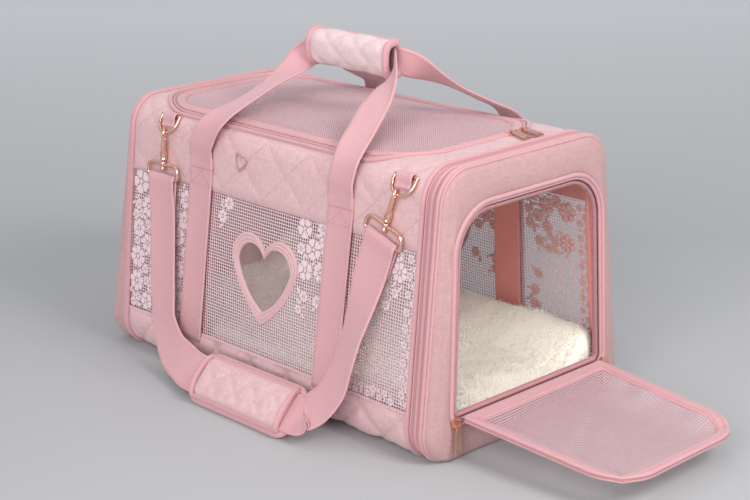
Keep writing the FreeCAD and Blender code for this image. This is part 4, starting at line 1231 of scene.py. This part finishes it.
def stuff(verts, faces, voxel, pressure, cap):
    """Puff a closed form like stuffed cloth, by cap at most. Returns vertices, faces and normals."""
    mesh = bpy.data.meshes.new("stuffing")
    mesh.from_pydata((np.asarray(verts) * MM).tolist(), [], faces)
    obj = bpy.data.objects.new("stuffing", mesh)
    bpy.context.scene.collection.objects.link(obj)
    bpy.context.view_layer.objects.active = obj
    obj.select_set(True)
    mod = obj.modifiers.new("remesh", "REMESH")
    mod.mode, mod.voxel_size = "VOXEL", voxel * MM
    bpy.ops.object.modifier_apply(modifier=mod.name)
    start = np.array([v.co for v in obj.data.vertices])
    cloth = obj.modifiers.new("cloth", "CLOTH")
    cloth.settings.use_pressure = True
    cloth.settings.uniform_pressure_force = pressure
    cloth.settings.effector_weights.gravity = 0
    cloth.settings.quality = 5
    cloth.settings.mass = 0.3
    cloth.settings.tension_stiffness = cloth.settings.compression_stiffness = 20
    cloth.settings.bending_stiffness = 2
    scene = bpy.context.scene
    for f in range(1, 21):
        scene.frame_set(f)
    bpy.ops.object.modifier_apply(modifier=cloth.name)
    scene.frame_set(1)
    end = np.array([v.co for v in obj.data.vertices])
    move = (end - start) / MM
    size = np.linalg.norm(move, axis=1, keepdims=True)
    end = start / MM + move * np.minimum(1, cap / np.maximum(size, 1e-6))
    faces = [list(p.vertices) for p in obj.data.polygons]
    obj.data.update()
    normals = np.array([v.normal for v in obj.data.vertices])
    bpy.data.objects.remove(obj)
    return end, faces, normals


def slab(outline, low, high, inset, rings):
    """A closed cushion-like form over an outline, with a rounded edge."""
    n = outward(outline)
    rows = []
    for k, way in [(k, -1) for k in range(rings + 1)] + [(k, 1) for k in range(rings - 1, -1, -1)]:
        a = math.pi / 2 * k / rings
        z = (high + low) / 2 + way * (high - low) / 2 * math.cos(a)
        rows.append(np.column_stack([outline - n * inset * (1 - math.sin(a)), np.full(len(outline), z)]))
    faces = quads(len(rows), len(outline), False, True).tolist() + caps(len(rows), len(outline))
    return np.vstack(rows), faces


def pad_piece():
    """The shoulder pad: a bound base, a puffed quilted panel, and arched mouths for the strap."""
    def local(p):
        return PAD_CENTRE + p[:, :1] * np.array([1.0, 0, 0]) + p[:, 1:2] * PAD_ACROSS + p[:, 2:3] * PAD_OUT

    def rect(a, c, r, count=150):
        return resample(rounded([(-a, -c), (a, -c), (a, c), (-a, c)], r), count, True)

    def at_height(loop, h):
        return local(np.column_stack([loop, np.full(len(loop), h)]))

    b = Build()
    verts, faces = slab(rect(69, 24, 14), -5.2, -2.2, 1.4, 3)
    b.add(local(verts), faces, 1, verts)
    tube(b, at_height(rect(68, 23, 13, 180), -3.3), 3.4, 10, True, 1, PAD_OUT, 0.86)
    stitch(b, at_height(rect(64.2, 19.4, 9.5, 180), -1.9), PAD_OUT, 2)
    base = piece("shoulder_pad_base", b, [TAPE, TAPE, THREAD], body="strap")

    half_x, half_y, du, dv, pitch = 59.5, 20.4, 6, 4, 30
    verts, faces = slab(rect(half_x, half_y, 5), -1.4, 6.0, 3.0, 5)
    verts[:, 2] += np.where(verts[:, 2] > 3, 1.6 * (1 - (verts[:, 1] / 20) ** 2), 0)
    end, faces, normal = stuff(verts, faces, 3.2, 3.0, 2.4)
    top = step(0.2, 0.8, normal[:, 2])
    hold = step(16.5, 13.0, np.abs(end[:, 1])) * step(55.5, 52, np.abs(end[:, 0]))
    rise = top * hold * (quilt(end[:, 0] + du, end[:, 1] + dv, pitch, 1.3, 1.0, 3.5) - 0.2)
    end = end + normal * rise[:, None]
    b = Build().add(local(end), faces, 0, end)
    for u, v in quilt_lines((-47, 59), (-9, 17), pitch, 1.0):
        crown = 6.2 + 1.6 * (1 - ((v - dv) / 20) ** 2)
        stitch(b, local(np.column_stack([u - du, v - dv, crown])), PAD_OUT, 1, 2.2, 1.0, 0.42, 0.3)
    panel = piece("shoulder_pad_panel", b, [QUILTED, THREAD], body="strap", levels=1,
                  replaces=("shoulder_pad",))

    b = Build()
    t = np.linspace(0, math.pi, 30)
    for way in (-1, 1):
        x, z = way * (59.0 + 1.6 * np.sin(t)), -1.6 + 9.6 * np.sin(t) ** 0.6
        tube(b, local(np.column_stack([x, 20.6 * np.cos(t), z])), 3.0, 10, False, 0, (1, 0, 0), 0.7)
    for y in (-20.0, 20.0):
        line = np.column_stack([np.linspace(-59, 59, 40), np.full(40, y)])
        tube(b, at_height(line, 0.4), 3.0, 10, False, 0, PAD_OUT, 0.9)
    piece("shoulder_pad_binding", b, [TAPE], body="strap")


def grip_piece():
    """The padded grip folded round both handles, bound along its edges."""
    lo, hi = box("grip_wrap")
    cx, length = (lo[0] + hi[0]) / 2, hi[0] - lo[0]
    cz, half_z = (lo[2] + hi[2]) / 2, (hi[2] - lo[2]) / 2
    cy = -6.0
    n_t, n_x = 46, 60
    turn = np.linspace(math.radians(74), math.radians(298), n_t)

    def section(angle, grow):
        y = cy + (13.0 + grow) * np.sign(np.cos(angle)) * np.abs(np.cos(angle)) ** 0.75
        z = cz + (half_z - 0.8 + grow) * np.sign(np.sin(angle)) * np.abs(np.sin(angle)) ** 0.75
        return y, z

    xs = np.linspace(-1, 1, n_x)
    grown = [(x, -1.6 * max(0, abs(x) - 0.82) / 0.18) for x in xs] + [(x, -5.0) for x in xs[::-1]]
    rows = []
    for x, grow in grown:
        y, z = section(turn, grow)
        rows.append(np.column_stack([np.full(n_t, cx + x * (length / 2 - 1.5)), y, z]))
    k = len(rows)
    faces = quads(k, n_t, True, False).tolist()
    for edge in (0, n_t - 1):
        for i in range(n_x - 1):
            a, c = i * n_t + edge, (i + 1) * n_t + edge
            d, e = (k - 1 - i) * n_t + edge, (k - 2 - i) * n_t + edge
            faces.append([a, c, e, d] if edge else [a, d, e, c])
    end, faces, normal = stuff(np.vstack(rows), faces, 2.6, 2.5, 1.4)
    rel_y, rel_z = end[:, 1] - cy, end[:, 2] - cz
    around = np.degrees(np.arctan2(rel_z, rel_y)) % 360 * 0.29
    radial = np.sum(normal[:, 1:] * unit(np.column_stack([rel_y, rel_z])), 1)
    along = step(length / 2 - 6, length / 2 - 11, np.abs(end[:, 0] - cx))
    outer = step(0.3, 0.8, radial) * along * (rel_y < 8)
    end = end + normal * (outer * (quilt(end[:, 0] - cx + 4, around + 6, 38, 1.0, 1.15, 4) - 0.3))[:, None]
    b = Build().add(end, faces, 0, np.column_stack([end[:, 0], around, 0 * around]))
    wrap = piece("grip_padding", b, [PALE], body="near_handle", levels=1,
                 replaces=("grip_wrap",))
    b = Build()
    for x in (-1, 1):
        y, z = section(turn, -1.7)
        path = np.column_stack([np.full(n_t, cx + x * (length / 2 - 2.6)), y, z])
        tube(b, path, 3.9, 10, False, 0, (1, 0, 0), 0.8)
    for a in (0, n_t - 1):
        y, z = section(turn[a], -2.3)
        path = np.column_stack([np.linspace(lo[0] + 3, hi[0] - 3, 40), np.full(40, y), np.full(40, z)])
        tube(b, path, 3.4, 10, False, 0, (0, 0, 1))
    piece("grip_binding", b, [TAPE, THREAD], body="near_handle")


def bed_height(x, y):
    """Height of the bed's plush top, climbing where it meets the walls."""
    z = 40 + 27 * step(52, 104, y) + 7 * step(-72, -105, y) + 8 * step(-150, -205, x)
    z = z - 5 * step(180, 222, x) * (1 - step(40, 100, y))
    p = np.stack([x, y, 0 * x], -1)
    return z + 1.8 * wobble(p, 75, 21) + 0.8 * wobble(p, 28, 22)


def bed_piece():
    """The plush bed: a shaped base, a pile over its top and a fringe round its side."""
    x0, x1 = box("plush_bed")[0][0] + 2, box("plush_bed")[1][0] + 7
    half, foot = 107.0, 8.6
    middle = ((x0 + x1) / 2, 0)

    def outline(grow, count=420):
        a, c, d = x0 - grow, x1 + grow, half + grow
        loop = resample(rounded([(a, -d), (c, -d), (c, d), (a, d)], 20 + grow), count, True)
        loop[:, 1] += 4.0 * step(60, 104, loop[:, 1])
        return loop

    rows = []
    for grow, frac in ((-9, 0.0), (-3, 0.02), (0, 0.2), (1.2, 0.5), (0.6, 0.8), (-3, 0.94), (-10, 1.0)):
        o = outline(grow)
        rows.append(np.column_stack([o, foot + (bed_height(*o.T) - foot) * frac]))
    for t in np.linspace(0.97, 0.02, 70):
        o = (outline(-10) - middle) * t + middle
        rows.append(np.column_stack([o, bed_height(*o.T)]))
    n, m = np.shape(rows)[:2]
    b = Build().loft(rows, 0, np.zeros((n * m, 3)))
    b.faces += caps(n, m)[::-1]
    b.mats += [0, 0]
    base = piece("plush_bed_base", b, [PILE], replaces=("plush_bed",), out_from=(5, 0, 25))

    g = np.random.default_rng(5)
    count, margin = 64000, 5
    px, py = g.uniform(x0, x1, count), g.uniform(-half, half, count)
    ok = box_distance(px, py, x0 + margin, x1 - margin, -half + margin, half - margin, 24) < 0
    px, py = px[ok], py[ok]
    e = 1.0
    slope = np.stack([bed_height(px + e, py) - bed_height(px - e, py),
                      bed_height(px, py + e) - bed_height(px, py - e)], 1)
    pile_blades("plush_bed_pile", g, np.column_stack([px, py, bed_height(px, py)]),
                unit(np.column_stack([-slope / (2 * e), np.ones(len(px))])), (4.0, 7.0), (0.18, 0.32), 0.5)

    edge, each = outline(0, 2800), 11
    en, edge = np.repeat(outward(edge), each, 0), np.repeat(edge, each, 0)
    frac = g.uniform(0.2, 1.0, len(edge))
    root = np.column_stack([edge - en * (step(0.7, 1, frac) * 9)[:, None],
                            foot + (bed_height(*edge.T) - foot) * frac])
    pile_blades("plush_bed_fringe", g, root, unit(np.column_stack([en * (1.25 - frac)[:, None], frac])),
                (4.5, 7.5), (0.16, 0.3), 0.75)


def pile_blades(name, g, root, normal, span, half_width, rise):
    """Flat fibres combed over a surface, each with its broad side outwards."""
    flow = np.stack([0.5 + wobble(root, 80, 31), -0.25 + wobble(root, 80, 32), 0 * root[:, 0]], 1)
    clump = np.stack([wobble(root, 12, 33), wobble(root, 12, 34), 0 * root[:, 0]], 1)
    comb = unit(flow + clump * 0.4 + g.normal(0, 0.32, root.shape))
    lean = unit(normal * rise + comb)
    count = len(root)
    long = g.uniform(*span, (count, 1))
    twist = normal * g.normal(0, 0.25, (count, 1))
    across = unit(np.cross(lean, normal) + twist) * g.uniform(*half_width, (count, 1))
    root = root - normal * 1.0
    mid, tip = root + lean * long * 0.55, root + unit(lean - normal * 0.12) * long
    verts = np.stack([root - across, root + across, mid + across * 0.8, mid - across * 0.8, tip], 1)
    at = (np.arange(count) * 5)[:, None]
    along = np.broadcast_to(np.array([0, 0, 0.55, 0.55, 1.0])[None, :, None] * [1, 0, 0], verts.shape)
    b = Build().add(verts, (at + [0, 1, 2, 3]).tolist() + (at + [3, 2, 4]).tolist(), 0, along)
    piece(name, b, [PILE])


# ---------------------------------------------------------------- flaps

def door_flap():
    """The door flap: a bound edge, a crumpled net, and the tape at its hinge."""
    hinge = pivot("door_flap_hinge")
    droop = math.radians(4)
    length = 170.0

    def half(l):
        return 94 - 8 * l / length

    def sag(l, w):
        """How the soft net hangs inside its stiff edge: a sag, one crease and a crumpled far side."""
        depth = step(0, 22, np.minimum.reduce([l - 6, length - 4 - l, half(l) - 6 - np.abs(w)]))
        d = (l - 74) * 0.86 + (w + 5) * 0.5
        h = -5.0 - 2.6 * np.exp(-(d / 6) ** 2) + 2.2 * np.exp(-((d + 12) / 8) ** 2)
        crumple = step(35, 80, w) * (2.6 * np.sin(l / 9.5 + 0.6) + 1.5 * np.sin(l / 5.1 + 1))
        return depth * (h + 1.2 * np.sin(l / 26 + w / 31)) + np.minimum(depth * 2, 1) * crumple

    def place(l, w, h=0.0):
        z = h + sag(l, w)
        return np.stack([hinge[0] + l * math.cos(droop) + z * math.sin(droop), w,
                         hinge[2] - l * math.sin(droop) + z * math.cos(droop)], -1)

    def outline(inset, count=300):
        a, c = half(0) - inset, half(length) - inset
        near, far = 1.5 + inset, 1.5 + length - inset
        r_hinge, r_free = max(4 - inset, 1), 42 - inset
        loop = rounded([(near, -a), (near, a), (far, c), (far, -c)], [r_hinge, r_hinge, r_free, r_free])
        return resample(loop, count, True)

    profile = [(0.9, -2.6), (0.3, -1.7), (0.9, -0.8), (1.7, -0.5), (1.7, 0.6), (0.6, 0.9), (0.1, 1.9),
               (0.9, 2.9), (2.6, 3.3), (4.4, 2.9), (5.0, 2.2), (6.2, 2.5), (9.2, 2.3), (11.2, 1.2),
               (12.0, 0.2), (10.5, -0.8), (6.0, -1.6), (3.0, -2.7)]
    b = Build().loft([place(*outline(inset).T, h) for inset, h in profile], closed=True)
    coil(b, place(*outline(1.3, 640).T, 0.05), (0, 0, 1), 0.8, mat=1)
    for inset, over in ((3.9, 2.95), (9.6, 2.2)):
        stitch(b, place(*joined(outline(inset)).T, over), (0, 0, 1), 2)
    piece("door_flap_binding", b, [TAPE, SELVEDGE, THREAD], body="door_flap",
          replaces=("door_flap_rim",))
    b = Build()
    inner = outline(9.5, 200)
    net(b, (9, 165, -88, 88), 2.5, 1.7, lambda u, v: in_loop(u, v, inner), lambda u, v: place(u, v, 0.4))
    piece("door_flap_net", b, [TOP_NET], body="door_flap", solid=0.45,
          replaces=("door_flap_mesh",), out_from=(300, 0, -500))
    w = np.linspace(-91, 91, 60)
    run = ((HALF_LENGTH - 2.5, 37.5), (HALF_LENGTH + 0.2, 39.4), (hinge[0], 40.8), (hinge[0] + 3.5, 41.2),
           (hinge[0] + 6.5, 40.4))
    rows = [np.column_stack([np.full(60, x), w, np.full(60, z)]) for x, z in run]
    b = Build().loft(rows, around=False)
    piece("door_hinge_tape", b, [TAPE], solid=1.2, out_from=(HALF_LENGTH, 0, -100),
          blend=("bag", "door_flap", (hinge[0] - 1.5, 0, 40), (hinge[0] + 3.5, 0, 40)))


def top_flap():
    """The top flap: a bound edge round a softly domed net."""
    def across(p, low, high):
        """-1 to 1 from one inner edge of the flap to the other."""
        return np.clip((p - (low + high) / 2) / ((high - low) / 2 - 10), -1, 1)

    def dome(x, y):
        u, v = across(x, *OPEN[:2]), across(y, *OPEN[2:])
        inner = (1 - u * u) * (1 - v * v)
        return 5.5 * inner + 1.6 * inner ** 0.5 * np.sin(x / 31 + y / 47 + 0.7) * np.clip(1 - v * v, 0, 1)

    def place(x, y, h):
        return np.stack([x, y, top_height(np.clip(y, -99, 99)) - 1.4 + dome(x, y) + h], -1)

    profile = [(4.2, -0.8), (4.0, 0.6), (4.9, 2.2), (6.6, 2.6), (8.2, 1.8), (8.9, 1.0), (10.0, 1.7),
               (12.6, 1.5), (14.2, 0.3), (12.0, -1.0), (7.0, -1.3)]
    b = Build().loft([place(*open_outline(inset).T, h) for inset, h in profile], closed=True)
    stitch(b, place(*joined(open_outline(11.6, 300)).T, 1.65), (0, 0, 1), 1)
    piece("top_flap_binding", b, [TAPE, THREAD], body="top_flap", replaces=("top_flap_rim",))
    b = Build()
    net(b, OPEN, 2.6, 1.75, lambda u, v: opening_distance(u, v) < -12.5, lambda u, v: place(u, v, 0.2))
    piece("top_flap_net", b, [TOP_NET], body="top_flap", solid=0.45,
          replaces=("top_flap_mesh",), out_from=(0, 0, -500))


# ---------------------------------------------------------------- ring tabs and metal

def tab_pieces():
    """Webbing loops folded round each ring's straight side."""
    lean, fold = math.radians(38), 2.8
    for name, sign in SIGN.items():
        radial = np.array([0, sign * math.cos(lean), math.sin(lean)])
        down = np.array([0, sign * math.sin(lean), -math.cos(lean)])
        for end in ("rear", "front"):
            c = pivot(f"{name}_{end}_ring_swing")
            spots = [(-2.9, 12), (-2.9, 6), (-fold, 0)]
            spots += [(-fold * math.cos(t), -fold * math.sin(t)) for t in np.linspace(0.5, 2.8, 6)]
            spots += [(2.7, 1.5), (1.2, 4.6), (-0.6, 7.0), (-1.4, 11)]
            path = smooth([c + radial * r + down * d for r, d in spots], 46)
            b = Build()
            ribbon(b, path, np.tile([1.0, 0, 0], (46, 1)), 19, 1.2)
            piece(f"{name}_{end}_tab", b, [WEBBING], replaces=(f"{name}_{end}_ring_tab",))


def metal_nodes():
    """Materials for the CAD solids that stay in the picture."""
    kinds = {GOLD: ("_ring", "hook", "bracket", "slider", "pull"), STEEL: ("wire_hoop",),
             BOARD: ("base_board",)}
    for node, obj in frame["nodes"].items():
        for material, words in kinds.items():
            if any(word in node for word in words) and not node.endswith("_tab"):
                obj.data.materials.clear()
                obj.data.materials.append(material)


# ---------------------------------------------------------------- stage

def paper():
    """Pale paper with painted light: its colour lightens with distance; laid flat and curved up behind the
    bag.
    """
    n = Nodes("studio_paper_painted_light")
    place = n.place()
    axes = n.node("ShaderNodeSeparateXYZ")
    n.link(place, axes.inputs[0])
    away = n.math("SUBTRACT", axes.outputs[1], axes.outputs[0])
    # Painted light: the paper's colour brightens from grey near the bag to near white far behind it.
    rise = n.node("ShaderNodeMapRange", From_Min=0.6, From_Max=2.9)
    n.link(away, rise.inputs["Value"])
    grain = n.noise(place, 3, 2)
    near = n.mix(grain, rgb(178, 179, 181), rgb(181, 182, 184))
    n.surface(n.mix(rise.outputs[0], near, rgb(238, 238, 239)), Roughness=0.75, Specular_IOR_Level=0.2)
    mesh = bpy.data.meshes.new("studio_floor")
    front, bend, curve, head, half_width = 4.0, 3.4, 2.2, 7.0, 8.0
    t = np.linspace(0, math.pi / 2, 24)
    run = [(front, 0.0)]
    run += [(-bend - curve * math.sin(a), curve - curve * math.cos(a)) for a in t]
    run += [(-bend - curve, head)]
    back = np.array([math.cos(math.radians(45)), -math.sin(math.radians(45)), 0])
    wide = np.array([back[1], -back[0], 0])
    verts = [tuple(back * d + wide * w + np.array([0, 0, z])) for d, z in run
             for w in (-half_width, half_width)]
    mesh.from_pydata(verts, [], quads(len(run), 2).tolist())
    mesh.polygons.foreach_set("use_smooth", np.ones(len(mesh.polygons), bool))
    mesh.materials.append(n.mat)
    floor = bpy.data.objects.new("studio_floor", mesh)
    bpy.context.scene.collection.objects.link(floor)


def lamp(name, place, aim, size, power, colour=(1, 1, 1)):
    data = bpy.data.lights.new(name, "AREA")
    data.shape, data.size, data.energy, data.color = "SQUARE", size, power, colour
    obj = bpy.data.objects.new(name, data)
    obj.location = place
    obj.rotation_euler = (Vector(aim) - Vector(place)).to_track_quat("-Z", "Y").to_euler()
    bpy.context.scene.collection.objects.link(obj)


def stage():
    paper()
    world = bpy.data.worlds.new("studio")
    bpy.context.scene.world = world
    world.use_nodes = True
    sky = world.node_tree.nodes["Background"].inputs
    sky["Color"].default_value = (0.92, 0.94, 1.0, 1)
    sky["Strength"].default_value = 0.58
    lamp("key", (1.15, -2.1, 1.2), (0, 0, 0.1), 1.5, 42, (1, 0.985, 0.96))
    lamp("top", (-0.1, 0.1, 2.0), (0, 0, 0.1), 1.6, 4)
    lamp("door", (1.4, 0.0, 1.2), (0.15, 0, 0.06), 0.6, 14, (1, 0.985, 0.95))

    sensor, focal_pixels, image_width = 36, 1704.4, 750
    yaw, pitch, roll = (math.radians(a) for a in (45.905, 17.647, -0.436))
    f = Vector((-math.sin(yaw) * math.cos(pitch), math.cos(yaw) * math.cos(pitch), -math.sin(pitch)))
    r = Vector((math.cos(yaw), math.sin(yaw), 0))
    u = r.cross(f)
    r2, u2 = math.cos(roll) * r + math.sin(roll) * u, -math.sin(roll) * r + math.cos(roll) * u
    data = bpy.data.cameras.new("camera")
    data.sensor_width, data.lens = sensor, sensor * focal_pixels / image_width
    data.clip_start, data.clip_end = 0.05, 50
    cam = bpy.data.objects.new("camera", data)
    m = Matrix((r2, u2, -f)).transposed().to_4x4()
    m.translation = Vector((1151.21, -1084.14, 621.22)) * MM
    cam.matrix_world = m
    bpy.context.scene.collection.objects.link(cam)
    bpy.context.scene.camera = cam
    bpy.context.scene.view_settings.view_transform = "Standard"


shell_pieces()
end_pieces()
window_pieces()
strip_pieces()
handle_pieces()
hook_pieces()
strap_pieces()
pad_piece()
grip_piece()
bed_piece()
door_flap()
top_flap()
tab_pieces()
metal_nodes()
piece("seams", SEAMS, [THREAD])
stage()
